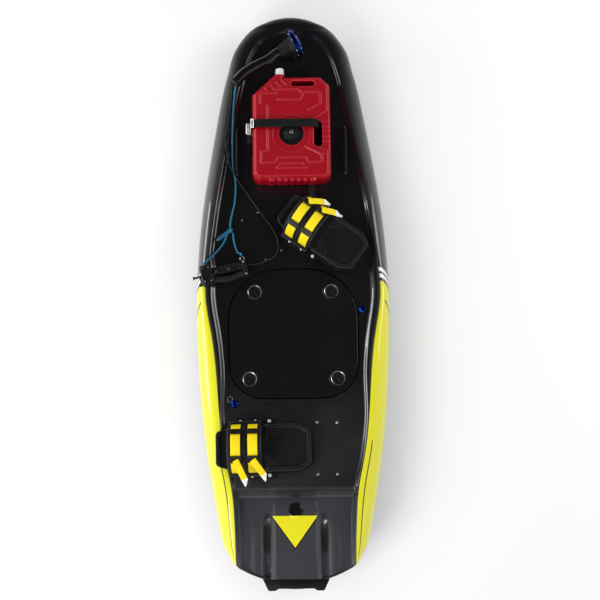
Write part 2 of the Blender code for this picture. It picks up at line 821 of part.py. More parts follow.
def blade_cutter(name, inner, outer, turn, parent):
    """One helical blade, swept from a radial line."""
    bm = bmesh.new()
    verts = [bm.verts.new((inner + (outer - inner) * k / 2, 0, 0)) for k in range(3)]
    for low, high in zip(verts, verts[1:]):
        bm.edges.new((low, high))
    mesh = bpy.data.meshes.new(name)
    bm.to_mesh(mesh)
    bm.free()
    length = IMPELLER_LENGTH - 2 * BLADE_THICKNESS
    blade = add_object(name, mesh, None, parent, (0, 0, -length / 2), (0, 0, turn))
    screw = blade.modifiers.new("sweep", "SCREW")
    screw.steps = screw.render_steps = 2 * RAIL_STEPS
    screw.angle = IMPELLER_SWEEP
    screw.screw_offset = length
    screw.use_merge_vertices = False
    thick = blade.modifiers.new("thickness", "SOLIDIFY")
    thick.thickness = BLADE_THICKNESS
    thick.offset = 0
    return blade


def make_stator(along):
    centre = new_empty("stator_axis", STANCE, (0, STATOR_Y, PUMP_Z), along)
    half = STATOR_LENGTH / 2
    hub = turned("stator", [(0, half), (IMPELLER_HUB, half), (IMPELLER_HUB, -half), (0, -half - IMPELLER_HUB)],
                 "pump_metal", centre)
    reach = PUMP_BORE * math.cos(math.pi / ROUND_STEPS) - 2 * SEAT_GAP
    inner = IMPELLER_HUB - BLADE_THICKNESS
    for i in range(STATOR_VANES):
        turn = i * math.tau / STATOR_VANES
        middle = (reach + inner) / 2
        vane = box(f"vane_{i + 1}", (reach - inner, BLADE_THICKNESS, STATOR_LENGTH - 2 * BLADE_THICKNESS), None,
                   centre, (middle * math.cos(turn), middle * math.sin(turn), 0), (0, 0, turn))
        combine(hub, vane, "UNION")


def make_grate():
    inner_length = GRATE_LENGTH - 2 * GRATE_RIM
    inner_width = GRATE_WIDTH - 2 * GRATE_RIM
    slots = GRATE_BARS + 1
    slot_width = (inner_width - GRATE_BARS * GRATE_BAR_WIDTH) / slots
    holes = []
    for i in range(slots):
        x = -inner_width / 2 + slot_width / 2 + i * (slot_width + GRATE_BAR_WIDTH)
        shorter = GRATE_RIM * abs(2 * i - slots + 1) / 2
        holes.append([(x + px, py + GRATE_Y) for px, py in stadium(inner_length - shorter, slot_width)])
    plate("intake_grate", [grate_outline(0), *holes], GRATE_THICKNESS, "pump_metal",
          location=(0, 0, SEAT_GAP + GRATE_THICKNESS / 2))


def make_shroud():
    rear = TRANSOM_Y - SEAT_GAP - SHROUD_LENGTH
    front = TRANSOM_Y - SEAT_GAP
    outline = rounded([
        (-SHROUD_REAR_HALF, rear, SHROUD_RADIUS), (SHROUD_REAR_HALF, rear, SHROUD_RADIUS),
        (SHROUD_FRONT_HALF, front, 0), (-SHROUD_FRONT_HALF, front, 0),
    ])
    shroud = plate("nozzle_shroud", [outline], SHROUD_HEIGHT, "satin_black",
                   location=(0, 0, SHROUD_BOTTOM_Z + SHROUD_HEIGHT / 2))
    bore = NOZZLE_BORE + PUMP_WALL + SEAT_GAP
    mouth = turned("cut_mouth", [(0, front + CUT_OVERRUN), (bore, front + CUT_OVERRUN), (bore, rear - CUT_OVERRUN),
                                 (0, rear - CUT_OVERRUN)], None, location=(0, 0, PUMP_Z),
                   rotation=(-math.pi / 2, 0, 0))
    combine(shroud, mouth)


def make_fins():
    for side, name in ((-1, "fin_port"), (1, "fin_starboard")):
        half = FIN_CHORD / 2
        base_top = FIN_BASE_DEPTH - SEAT_GAP
        outline = rounded([
            (-half, 0, 0), (-half - FIN_RAKE, -FIN_DEPTH, FIN_TIP_CHORD / 4),
            (-half - FIN_RAKE + FIN_TIP_CHORD, -FIN_DEPTH, FIN_TIP_CHORD / 2),
            (half, 0, 0), (half, base_top / 2, 0), (-half, base_top / 2, 0),
        ])
        fin = plate(name, [outline], FIN_THICKNESS, "satin_black", location=(side * FIN_X, FIN_Y, 0),
                    rotation=(math.pi / 2, 0, math.pi / 2))
        base = box(name + "_base", (FIN_BASE_WIDTH, FIN_BASE_LENGTH, base_top), None,
                   location=(side * FIN_X, FIN_Y, base_top / 2))
        combine(fin, base, "UNION")


# Plugs set into the deck

def make_plugs():
    rise = HUMP_RISE + deck_surface(TAIL_PLUG_Y) + SEAT_GAP
    turned("tail_plug", [(0, TAIL_PLUG_HEIGHT), (TAIL_PLUG_RADIUS * 0.8, TAIL_PLUG_HEIGHT),
                         (TAIL_PLUG_RADIUS, 0), (0, 0)], "satin_black", location=(0, TAIL_PLUG_Y, rise))
    for name, (x, y) in DECK_PLUG_PLACES.items():
        turned(name, [(0, DECK_PLUG_HEIGHT), (DECK_PLUG_RADIUS * 0.6, DECK_PLUG_HEIGHT),
                      (DECK_PLUG_RADIUS, DECK_PLUG_HEIGHT / 3), (DECK_PLUG_RADIUS, 0), (0, 0)],
               "blue_anodised", location=(x, y, deck_surface(y) + SEAT_GAP), steps=ROUND_STEPS // 2)


# Nose mount, its flexible arm and the cords to the handle

def hub_centre():
    x, y = HUB_PLACE
    return Vector((x, y, deck_surface(y) + HUB_FLOOR_GAP + HUB_RADIUS * math.hypot(HUB_LEAN.x, HUB_LEAN.y)))


ARM_POINTS = ((-0.071, 0.743, 0.221), (-0.115, 0.721, 0.218), (-0.152, 0.699, 0.212), (-0.176, 0.676, 0.205))


def make_nose_mount():
    centre = hub_centre()
    half = HUB_THICKNESS / 2
    turned("nose_hub", [(0, half), (HUB_RADIUS, half), (HUB_RADIUS, -half), (HUB_RADIUS * 0.55, -half - HUB_DOME),
                        (0, -half - HUB_DOME)], "blue_anodised", location=centre, rotation=facing(HUB_LEAN))
    start = centre + HUB_LEAN * (half + SEAT_GAP)
    profile = [(0, BOOT_LENGTH)]
    for k in range(2 * BOOT_RINGS + 1):
        share = 1 - k / (2 * BOOT_RINGS)
        radius = BOOT_BASE + (BOOT_NECK - BOOT_BASE) * share ** 0.5
        profile.append((radius - BOOT_RING_DEPTH * (k % 2), BOOT_LENGTH * share))
    profile.append((0, 0))
    turned("arm_boot", profile, "black_rubber", location=start, rotation=facing(HUB_LEAN), steps=24)
    neck = start + HUB_LEAN * (BOOT_LENGTH + SEAT_GAP)
    inlet = neck + HUB_LEAN * CUFF_LENGTH
    route = [neck, *spline_points([inlet, *ARM_POINTS], CURVE_STEPS // 3)]
    sleeve = tube("arm_sleeve", route, SLEEVE_RADIUS, "black_rubber", sides=4)
    end = (route[-1] - route[-2]).normalized()
    cuff_at = route[-1] + end * SEAT_GAP
    turned("arm_cuff", [(0, CUFF_LENGTH), (CUFF_RADIUS * 0.8, CUFF_LENGTH), (CUFF_RADIUS, CUFF_LENGTH * 0.7),
                        (CUFF_RADIUS, 0), (0, 0)], "satin_black", location=cuff_at, rotation=facing(end), steps=24)
    make_foot(centre)
    return cuff_at + end * (CUFF_LENGTH + SEAT_GAP), end


def make_foot(centre):
    """The block under the hub that carries it on the deck."""
    floor = deck_surface(centre.y + FOOT_LENGTH / 2) + SEAT_GAP
    turn = math.atan2(HUB_LEAN.y, HUB_LEAN.x)
    height = centre.z - floor - HUB_RADIUS / 2
    foot = box("nose_foot", (FOOT_WIDTH, FOOT_LENGTH, height), "satin_black",
               location=(centre.x, centre.y, floor + height / 2), rotation=(0, 0, turn))
    bevel(foot, FOOT_CORNER)
    room = turned("cut_hub", [(0, FOOT_LENGTH), (HUB_RADIUS + SEAT_GAP, FOOT_LENGTH),
                              (HUB_RADIUS + SEAT_GAP, -FOOT_LENGTH), (0, -FOOT_LENGTH)], None,
                  location=centre, rotation=facing(HUB_LEAN))
    combine(foot, room)



def on_deck(x, y, radius):
    """A cord's centre where it lies on the deck, or on the crest at the deck's edge."""
    crest_half = interpolate(CREST, y)
    floor = deck_surface(y)
    top = crest_height(y)
    share = ease(crest_half - CREST_WALL - CREST_BERTH, crest_half - CREST_WALL, abs(x))
    return Vector((x, y, floor + (top - floor) * share + radius + CORD_LIFT))


CREST_BERTH = 0.010
CORD_LIFT = 0.0006

# Places on each cord's route across the deck
ROPE_ROUTE = (
    (-0.187, 0.622), (-0.190, 0.575), (-0.1925, 0.510), (-0.1935, 0.444), (-0.191, 0.389),
    (-0.183, 0.341), (-0.186, 0.275), (-0.193, 0.240),
)
KNOT_PLACE = (-0.200, 0.176)
KNOT_RADIUS = 0.0085
BRIDLE_PORT_ROUTE = ((-0.222, 0.135), (-0.248, 0.098))
BRIDLE_STARBOARD_ROUTE = ((-0.188, 0.140), (-0.177, 0.105))
CROSSING = (-0.187, 0.366)
CROSSING_LIFT = 2 * ROPE_RADIUS + CORD_LIFT
CABLE_ROUTE = (
    (-0.195, 0.640), (-0.201, 0.590), (-0.208, 0.533), (-0.216, 0.492), (-0.214, 0.455), (-0.204, 0.405),
    CROSSING, (-0.166, 0.333), (-0.145, 0.303), (-0.118, 0.260), (-0.088, 0.218), (-0.062, 0.180),
    (-0.047, 0.142), (-0.046, 0.110), (-0.060, 0.088), (-0.085, 0.074), (-0.112, 0.064),
)


def handle_frame():
    """The handle's own place: +X runs along the grip from its block."""
    x, y = HANDLE_PLACE
    crest = crest_height(y) + BLOCK_HEIGHT / 2 + HANDLE_LIFT
    return (x, y, crest), (0, HANDLE_DIP, HANDLE_TURN)


HANDLE_LIFT = 0.003


def make_handle():
    place, rotation = handle_frame()
    frame = new_empty("handle_frame", STANCE, place, rotation)
    half = BLOCK_LENGTH / 2
    side = BLOCK_WIDTH / 2
    outline = rounded([(-side, -half, BLOCK_CORNER), (side, -half, BLOCK_CORNER),
                       (side, half, BLOCK_CORNER), (-side, half, BLOCK_CORNER)], CHINE_STEPS // 2)
    block = plate("throttle_housing", [outline], BLOCK_HEIGHT, "satin_black", frame)
    bevel(block, BLOCK_CORNER / 3)
    start = side + SEAT_GAP
    end = start + GRIP_LENGTH
    bend = [(start, -GRIP_OFFSET, 0), (start + GRIP_RADIUS, -GRIP_OFFSET, 0),
            ((start + end) / 2, -GRIP_OFFSET - GRIP_BOW, 0), (end - GRIP_RADIUS, -GRIP_OFFSET, 0),
            (end, -GRIP_OFFSET, 0)]
    tube("handle_grip", [bend[0], *spline_points(bend[1:-1], CHINE_STEPS), bend[-1]], GRIP_RADIUS, "black_rubber", frame)
    tube("handle_bar", [(start, BAR_OFFSET, 0), (end, BAR_OFFSET, 0)], BAR_RADIUS, "satin_black", frame)
    at = end + SEAT_GAP + END_WIDTH / 2
    plate_end = box("handle_end", (END_WIDTH, END_LENGTH, END_HEIGHT), "satin_black", frame,
                    (at, END_OFFSET, 0))
    bevel(plate_end, BLOCK_CORNER / 3)
    reach = -side - SEAT_GAP
    lever = turned("throttle_lever", [(0, LEVER_REACH), (LEVER_HEAD / 2, LEVER_REACH),
                                      (LEVER_HEAD / 2, LEVER_REACH - LEVER_RADIUS),
                                      (LEVER_RADIUS, LEVER_REACH - LEVER_RADIUS), (LEVER_RADIUS, 0), (0, 0)],
                   "satin_black", frame, (reach, 0, 0), (0, -math.pi / 2, 0), steps=16)
    turned("handle_eyelet", [(EYELET_RADIUS, EYELET_WIDTH), (EYELET_RADIUS, 0), (EYELET_HOLE, 0),
                             (EYELET_HOLE, EYELET_WIDTH)], "bright_metal", frame,
           (at, END_OFFSET + END_LENGTH / 2 + EYELET_RADIUS + SEAT_GAP, -EYELET_WIDTH / 2),
           closed=True, steps=24)
    return place, rotation


GRIP_BOW = 0.006
END_OFFSET = -0.004
EYELET_WIDTH = 0.004
EYELET_HOLE = 0.0045


def in_handle(point):
    """A point of the handle's own frame, in the board frame."""
    place, rotation = handle_frame()
    turn = Matrix.Rotation(rotation[2], 3, "Z") @ Matrix.Rotation(rotation[1], 3, "Y")
    return turn @ Vector(point) + Vector(place)


def cord_points(ends_before, route, ends_after, radius, steps=3):
    """A cord's points, straight for a short way at an end that has two points of its own."""
    middle = [on_deck(x, y, radius) for x, y in route]
    if CROSSING in route:
        middle[route.index(CROSSING)].z += CROSSING_LIFT
    run = spline_points([ends_before[-1], *middle, ends_after[0]], steps)
    for point in run:
        point.z = max(point.z, on_deck(point.x, point.y, radius).z)
    return [*ends_before[:-1], *run, *ends_after[1:]]


def make_cords(exit_point, direction):
    side_step = direction.cross(Vector((0, 0, 1))).normalized() * CUFF_RADIUS / 2
    rope_start = exit_point - side_step
    cable_start = exit_point + side_step
    knot = on_deck(*KNOT_PLACE, KNOT_RADIUS)
    above = Vector((0, KNOT_RADIUS + SEAT_GAP, 0))
    tube("lead_rope", cord_points([rope_start, rope_start + direction * ROPE_RADIUS], ROPE_ROUTE, [knot + 3 * above, knot + above],
                                  ROPE_RADIUS), ROPE_RADIUS, "rope_blue")
    turned("rope_knot", [(0, KNOT_RADIUS), (KNOT_RADIUS * 0.7, KNOT_RADIUS * 0.7), (KNOT_RADIUS, 0),
                         (KNOT_RADIUS * 0.7, -KNOT_RADIUS * 0.7), (0, -KNOT_RADIUS)], "rope_blue",
           location=knot, steps=16)
    side = BLOCK_WIDTH / 2
    port_end = in_handle((0, BLOCK_LENGTH / 2 + SEAT_GAP, 0))
    below_port = knot + Vector((-KNOT_RADIUS, -KNOT_RADIUS, 0)) * BRIDLE_SEAT_SHARE
    port_lead = in_handle((0, BLOCK_LENGTH / 2 + 3 * ROPE_RADIUS, 0))
    tube("bridle_port", cord_points([below_port], BRIDLE_PORT_ROUTE, [port_lead, port_end], ROPE_RADIUS),
         ROPE_RADIUS, "rope_blue")
    at = side + 2 * SEAT_GAP + GRIP_LENGTH + END_WIDTH / 2
    eyelet_y = END_OFFSET + END_LENGTH / 2 + 2 * EYELET_RADIUS + SEAT_GAP
    starboard_end = in_handle((at, eyelet_y + SEAT_GAP, 0))
    below_starboard = knot + Vector((KNOT_RADIUS, -KNOT_RADIUS, 0)) * BRIDLE_SEAT_SHARE
    starboard_lead = in_handle((at, eyelet_y + 3 * ROPE_RADIUS, 0))
    tube("bridle_starboard", cord_points([below_starboard], BRIDLE_STARBOARD_ROUTE,
                                         [starboard_lead, starboard_end], ROPE_RADIUS), ROPE_RADIUS, "rope_blue")
    cable_end = in_handle((at + END_WIDTH / 2 + SEAT_GAP, CABLE_OFFSET, 0))
    lead_out = in_handle((at + END_WIDTH + CABLE_LEAD, CABLE_OFFSET, 0))
    tube("throttle_cable", cord_points([cable_start, cable_start + direction * ROPE_RADIUS], CABLE_ROUTE,
                                       [lead_out, cable_end], CABLE_RADIUS), CABLE_RADIUS, "satin_black")


BRIDLE_SEAT_SHARE = 1.0
CABLE_OFFSET = 0.004
CABLE_LEAD = 0.010


# Fuel can, held by its lock knob and a strap

def can_frame():
    x, y = CAN_PLACE
    slope = math.atan2(deck_surface(y + CAN_SLOPE_REACH) - deck_surface(y - CAN_SLOPE_REACH), 2 * CAN_SLOPE_REACH)
    return (x, y, deck_surface(y) + SEAT_GAP), (slope, 0, 0)


CAN_SLOPE_REACH = 0.06


def make_can():
    place, rotation = can_frame()
    frame = new_empty("can_frame", STANCE, place, rotation)
    turned("can_mount", [(0, CAN_PLATE_THICKNESS + CAN_THICKNESS - KNOB_RECESS),
                         (STUD_RADIUS, CAN_PLATE_THICKNESS + CAN_THICKNESS - KNOB_RECESS),
                         (STUD_RADIUS, CAN_PLATE_THICKNESS), (CAN_PLATE_RADIUS, CAN_PLATE_THICKNESS),
                         (CAN_PLATE_RADIUS, CAN_MOUNT_LIFT), (0, CAN_MOUNT_LIFT)], "satin_black", frame)
    bottom = CAN_PLATE_THICKNESS + SEAT_GAP
    outline = rounded([
        (CAN_LEFT, CAN_BOTTOM, CAN_CORNER), (CAN_RIGHT, CAN_BOTTOM, CAN_CORNER),
        (CAN_RIGHT, CAN_TOP - CAN_CORNER, CAN_CORNER / 3), (CAN_RIGHT - CAN_CORNER, CAN_TOP, CAN_CORNER / 3),
        (CAN_NECK_RIGHT, CAN_TOP, 0), (CAN_NECK_RIGHT, CAN_NECK_TOP, 0), (CAN_NECK_LEFT, CAN_NECK_TOP, 0),
        (CAN_LEFT, CAN_SHOULDER, CAN_CORNER / 3),
    ], CHINE_STEPS // 2)
    side_slot = [(x + GRIP_SLOT_X, y) for x, y in stadium(GRIP_SLOT_LENGTH, GRIP_SLOT_WIDTH)]
    middle = (TOP_SLOT_LEFT + TOP_SLOT_RIGHT) / 2
    top_slot = [(middle + y, TOP_SLOT_Y + x) for x, y in stadium(TOP_SLOT_RIGHT - TOP_SLOT_LEFT, TOP_SLOT_WIDTH)]
    hole = circle(0, 0, CAN_HOLE_RADIUS, 24)
    body = plate("fuel_can", [outline, side_slot, top_slot, hole], CAN_THICKNESS, "can_red", frame,
                 (0, 0, bottom + CAN_THICKNESS / 2))
    bevel(body, CAN_EDGE / 2, 2)
    well = turned("cut_well", [(0, CUT_OVERRUN), (KNOB_WELL_RADIUS, CUT_OVERRUN), (KNOB_WELL_RADIUS, -KNOB_RECESS),
                               (0, -KNOB_RECESS)], None, frame, (0, 0, bottom + CAN_THICKNESS))
    combine(body, well)
    neck_x = (CAN_NECK_LEFT + CAN_NECK_RIGHT) / 2
    turned("can_cap", [(0, CAP_LENGTH), (CAP_RADIUS, CAP_LENGTH), (CAP_RADIUS, 0), (0, 0)], "white_plastic", frame,
           (neck_x, CAN_NECK_TOP + SEAT_GAP, bottom + CAN_THICKNESS / 2), (-math.pi / 2, 0, 0), steps=24)
    knob_base = bottom + CAN_THICKNESS - KNOB_RECESS + SEAT_GAP
    points = []
    for k in range(KNOB_LOBES * 8):
        turn = math.tau * k / (KNOB_LOBES * 8)
        radius = KNOB_RADIUS - KNOB_LOBE_DEPTH * (1 - math.cos(KNOB_LOBES * turn)) / 2
        points.append((radius * math.cos(turn), radius * math.sin(turn)))
    knob = plate("can_knob", [points], KNOB_HEIGHT, "satin_black", frame, (0, 0, knob_base + KNOB_HEIGHT / 2))
    make_can_strap(frame, bottom + CAN_THICKNESS)


KNOB_RECESS = 0.012
KNOB_WELL_RADIUS = 0.040
CAN_MOUNT_LIFT = 0.0006


def make_can_strap(frame, top):
    """A band across the can's face, down its port side and down the grip slot."""
    left = CAN_LEFT - SEAT_GAP - STRAP_THICKNESS / 2
    right = GRIP_SLOT_X
    low = top - CAN_THICKNESS + STRAP_END_RISE
    high = top + SEAT_GAP + STRAP_THICKNESS / 2 + KNOB_PROUD
    inner = STRAP_THICKNESS / 2
    corners = [
        (left - inner, low), (left + inner, low), (left + inner, high - inner), (right - inner, high - inner),
        (right - inner, low), (right + inner, low), (right + inner, high + inner), (left - inner, high + inner),
    ]
    radii = (0, 0, STRAP_THICKNESS, STRAP_THICKNESS, 0, 0, 2 * STRAP_THICKNESS, 2 * STRAP_THICKNESS)
    outline = rounded([(x, z, r) for (x, z), r in zip(corners, radii)], CHINE_STEPS // 2)
    plate("can_strap", [outline], STRAP_WIDTH, "black_webbing", frame, (0, STRAP_Y, 0), (math.pi / 2, 0, 0))
    buckle = box("strap_buckle", (BUCKLE_THICKNESS, BUCKLE_WIDTH, BUCKLE_LENGTH), "white_plastic", frame,
                 (left - inner - SEAT_GAP - BUCKLE_THICKNESS / 2, STRAP_Y, top - CAN_THICKNESS / 2))
    bevel(buckle, STRAP_THICKNESS)


STRAP_END_RISE = 0.004
KNOB_PROUD = 0.006


def make_rails():
    for side, name in ((-1, "grab_rail_port"), (1, "grab_rail_starboard")):
        points = []
        for y, out in ((RAIL_FRONT_Y, 1), (RAIL_REAR_Y, -1)):
            floor = deck_surface(y) + 2 * SEAT_GAP
            points.append([(side * RAIL_X, y, floor), (side * RAIL_X, y, floor + RAIL_HEIGHT / 2),
                           (side * RAIL_X, y - out * RAIL_BEND / 2, floor + RAIL_HEIGHT)])
        route = points[0] + points[1][::-1]
        tube(name, route, RAIL_RADIUS, "black_rubber")


# Foot bindings

def make_binding(name, place, turn, side):
    floor = deck_surface(place[1]) + SEAT_GAP
    frame = new_empty(name, STANCE, (*place, floor), (0, 0, turn))
    half_length = BINDING_LENGTH / 2

    def flip(outline):
        return [(x, side * y) for x, y in outline]

    inner = BASE_WIDTH / 2
    base = rounded([
        (-half_length, -inner * 0.7, RIM_WIDTH), (-half_length * 0.7, -inner, RIM_WIDTH),
        (FLANGE_REAR, -inner, RIM_WIDTH), (FLANGE_REAR, -FLANGE_REACH, PAD_MARGIN),
        (FLANGE_SHORT, -FLANGE_REACH, PAD_MARGIN), (FLANGE_SHORT, -inner * 0.85, 0),
        (BASE_TOE, -inner * 0.7, PAD_MARGIN), (BASE_TOE, inner * 0.7, PAD_MARGIN),
        (FLANGE_FRONT, inner * 0.85, 0), (FLANGE_FRONT, FLANGE_REACH, PAD_MARGIN),
        (FLANGE_REAR, FLANGE_REACH, PAD_MARGIN), (FLANGE_REAR, inner, RIM_WIDTH),
        (-half_length * 0.7, inner, RIM_WIDTH), (-half_length, inner * 0.7, RIM_WIDTH),
    ], CHINE_STEPS // 2)
    plate(name + "_base", [flip(base)], BASE_THICKNESS, "satin_black", frame, (0, 0, BASE_THICKNESS / 2))
    top = BASE_THICKNESS + SEAT_GAP
    pad_half = half_length - PAD_MARGIN
    heel = HEEL_WIDTH / 2
    toe = TOE_WIDTH / 2
    inner_arch = ARCH_HALF - SEAT_GAP * 4
    pad = rounded([
        (-pad_half, -heel * 0.7, RIM_WIDTH), (-pad_half * 0.75, -heel, RIM_WIDTH),
        (ARCH_REAR - PAD_MARGIN, -heel, RIM_WIDTH), (ARCH_REAR, -inner_arch, 0),
        (ARCH_FRONT, -inner_arch, 0), (pad_half, -toe * 0.9, RIM_WIDTH),
        (pad_half, toe * 0.9, RIM_WIDTH), (ARCH_FRONT, inner_arch, 0),
        (ARCH_REAR, inner_arch, 0), (ARCH_REAR - PAD_MARGIN, heel, RIM_WIDTH),
        (-pad_half * 0.75, heel, RIM_WIDTH), (-pad_half, heel * 0.7, RIM_WIDTH),
    ], CHINE_STEPS // 2)
    plate(name + "_pad", [flip(pad)], PAD_THICKNESS, "foam_pad", frame, (0, 0, top + PAD_THICKNESS / 2))
    upright = (math.pi / 2, 0, math.pi / 2)
    length = ARCH_FRONT - ARCH_REAR
    arch = arch_outline(ARCH_HALF, ARCH_HEIGHT, ARCH_THICKNESS, ARCH_FOOT)
    plate(name + "_upper", [arch], length, "foam_pad", frame, ((ARCH_FRONT + ARCH_REAR) / 2, 0, top), upright)
    outer = ARCH_HALF + ARCH_THICKNESS + SEAT_GAP
    high = ARCH_HEIGHT + ARCH_THICKNESS + SEAT_GAP
    for place_u, band in zip(BAND_PLACES, BAND_NAMES):
        strip = arch_outline(outer, high, BAND_THICKNESS, 0, ARCH_THICKNESS + SEAT_GAP)
        plate(f"{name}_strap_{band}", [strip], BAND_WIDTH, "strap_yellow", frame, (place_u, 0, top), upright)
        base = ARCH_THICKNESS + SEAT_GAP
        across = outer + BAND_THICKNESS
        upright_reach = high + BAND_THICKNESS - base
        outward = Vector((math.cos(CLIP_ANGLE) / across, math.sin(CLIP_ANGLE) / upright_reach)).normalized()
        seat = Vector((across * math.cos(CLIP_ANGLE), base + upright_reach * math.sin(CLIP_ANGLE)))
        middle = seat + outward * (SEAT_GAP + CLIP_THICKNESS / 2)
        lean = math.atan2(outward.x, outward.y)
        clip = box(f"{name}_buckle_{band}", (CLIP_WIDTH, CLIP_LENGTH, CLIP_THICKNESS), "satin_black", frame,
                   (place_u, side * middle.x, top + middle.y), (-side * lean, 0, 0))
        bevel(clip, BAND_THICKNESS / 2)


ARCH_FOOT = 0.016
CLIP_ANGLE = math.pi * 7 / (2 * CURVE_STEPS)


def arch_outline(half, height, thickness, foot, bottom=0):
    """A band's section: half an ellipse outside and inside, with feet turned out."""
    outer = []
    inner = []
    for k in range(2 * CURVE_STEPS + 1):
        turn = math.pi * k / (2 * CURVE_STEPS)
        rise = max(bottom, 0)
        outer.append(((half + thickness) * math.cos(turn), rise + (height + thickness - rise) * math.sin(turn)))
        inner.append((half * math.cos(turn), rise + (height - rise) * math.sin(turn)))
    if not foot:
        return outer + inner[::-1]
    right = [(half + thickness + foot, 0), (half + thickness + foot, thickness), (half + thickness, thickness)]
    left = [(-x, y) for x, y in right[::-1]]
    middle = [point for point in outer[1:-1] if point[1] > thickness]
    return [*right, *middle, *left, *inner[::-1]]


def lay_down():
    """Turns the stance so that the board rests on its fins and its bottom."""
    tip_y = FIN_Y - FIN_CHORD / 2 - FIN_RAKE + FIN_TIP_CHORD / 2
    pitch = min(
        math.atan2(keel_height(y) + FIN_DEPTH, y - tip_y) for y in STATIONS if y > 0
    )
    STANCE.rotation_euler = (-pitch, 0, 0)
    lift = tip_y * math.sin(pitch) + FIN_DEPTH * math.cos(pitch)
    front = NOSE_Y * math.cos(pitch) + rail_height(NOSE_Y) * math.sin(pitch)
    rear_y = TRANSOM_Y - SHROUD_LENGTH
    rear = rear_y * math.cos(pitch) + SHROUD_BOTTOM_Z * math.sin(pitch)
    STANCE.location = (0, -(front + rear) / 2, lift)


def build():
    make_mouldings()
    make_hatch()
    make_engine()
    make_pump()
    make_grate()
    make_shroud()
    make_fins()
    make_plugs()
    make_handle()
    make_cords(*make_nose_mount())
    make_can()
    make_rails()
    for name, (place, turn, side) in BINDINGS.items():
        make_binding(name, place, turn, side)
    lay_down()


build()
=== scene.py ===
"""The look of the petrol jet surfboard, built around its frame."""

import json
import math
from itertools import accumulate

import bmesh
import bpy
from mathutils import Matrix, Vector


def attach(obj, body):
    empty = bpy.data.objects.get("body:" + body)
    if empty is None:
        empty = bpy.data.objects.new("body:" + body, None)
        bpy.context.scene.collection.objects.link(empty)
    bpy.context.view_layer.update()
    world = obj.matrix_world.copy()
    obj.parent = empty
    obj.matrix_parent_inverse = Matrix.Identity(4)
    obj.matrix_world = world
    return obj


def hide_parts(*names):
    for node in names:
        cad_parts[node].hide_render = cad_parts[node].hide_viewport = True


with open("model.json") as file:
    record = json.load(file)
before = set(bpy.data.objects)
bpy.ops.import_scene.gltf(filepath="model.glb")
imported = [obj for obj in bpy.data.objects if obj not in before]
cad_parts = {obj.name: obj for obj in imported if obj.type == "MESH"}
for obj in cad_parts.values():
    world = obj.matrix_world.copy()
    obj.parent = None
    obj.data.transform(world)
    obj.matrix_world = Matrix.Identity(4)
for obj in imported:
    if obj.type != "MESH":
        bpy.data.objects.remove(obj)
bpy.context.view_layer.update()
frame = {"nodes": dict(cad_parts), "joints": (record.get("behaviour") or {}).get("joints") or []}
NODES = frame["nodes"]

# The board's stance, read from the frame's joints
JOINTS = {joint["name"]: joint for joint in frame["joints"]}
LIFT_AXIS = JOINTS["hatch_lift"]["axis"]
PITCH = math.atan2(LIFT_AXIS[1], LIFT_AXIS[2])
TURN = Matrix.Rotation(-PITCH, 4, "X")
IMPELLER_PLACE = Vector((0, -0.700, 0.056))
PLACE = Vector(JOINTS["impeller_spin"]["pos_m"]) - TURN @ IMPELLER_PLACE
STANCE = Matrix.Translation(PLACE) @ TURN

# Sizes of the moulded board
NOSE_Y = 0.915
TRANSOM_Y = -0.905
LENGTH = NOSE_Y - TRANSOM_Y
HALF_BEAM = 0.313
DECK_Z = 0.142
NOSE_ROCKER = 0.155
ROCKER_START_Y = 0.05
NOSE_RISE = 0.058
RISE_START_Y = 0.335
CREST_RISE = 0.012
CREST_WALL = 0.016
EDGE_LAND = 0.006
WALL_SPREAD = 0.006
WIDE_FRONT_Y = 0.115
WIDE_FULL_Y = 0.030
WALL_TAPER_Y = -0.120
WALL_END_Y = -0.265
SHOULDER = 0.016
SHOULDER_TAPER_Y = -0.250
SHOULDER_END_Y = -0.450
NOSE_CLOSING = 0.064
SEAT_GAP = 0.0003
RUNNING_GAP = 0.005
CUT_OVERRUN = 0.02
TAIL_DROP = 0.034
STEP_Y = -0.651
STEP_RUN = 0.024
CREST_FALL = 0.036
CREST_FALL_START_Y = -0.60
CREST_FALL_END_Y = -0.88
HUMP_RISE = 0.008
HUMP_HALF = 0.060
HUMP_EDGE = 0.013
HUMP_FRONT_Y = -0.668
HUMP_RUN = 0.020
GROOVE_DEPTH = 0.014
GROOVE_X = 0.087
GROOVE_FRONT_Y = -0.715
GROOVE_RUN = 0.045
RIDGE_RISE = 0.006
RIDGE_X = 0.118
RIDGE_HALF = 0.006
HATCH_FRONT_Y = 0.049
HATCH_REAR_Y = -0.370
HATCH_HALF = 0.209
HATCH_REAR_HALF = 0.204
HATCH_FRONT_RADIUS = 0.160
HATCH_REAR_RADIUS = 0.115
LID_THICKNESS = 0.008
SEAL_THICKNESS = 0.003
LEDGE_WIDTH = 0.018
LEDGE_Z = DECK_Z - LID_THICKNESS - SEAL_THICKNESS - 2 * SEAT_GAP
BAY_FLOOR_Z = 0.020
COAMING_REACH = 0.0157
PUMP_Z = 0.056
PUMP_BORE = 0.040
PUMP_WALL = 0.003
PUMP_FRONT_Y = -0.655
INTAKE_SLOPE = math.radians(22)
INTAKE_RADIUS = 0.042
INTAKE_BEND = 0.100
SHAFT_BORE = 0.012
SHAFT_FRONT_Y = -0.305
GRATE_Y = -0.500
GRATE_LENGTH = 0.270
GRATE_WIDTH = 0.112
GRATE_THICKNESS = 0.005
FIN_X = 0.130
FIN_Y = -0.752
FIN_BASE_LENGTH = 0.132
FIN_BASE_WIDTH = 0.024
FIN_BASE_DEPTH = 0.006
FLAT_BOTTOM_SHARE = 0.68
RAIL_SHARE = 0.5
CURVE_STEPS = 12
STATION_PITCH = 0.012

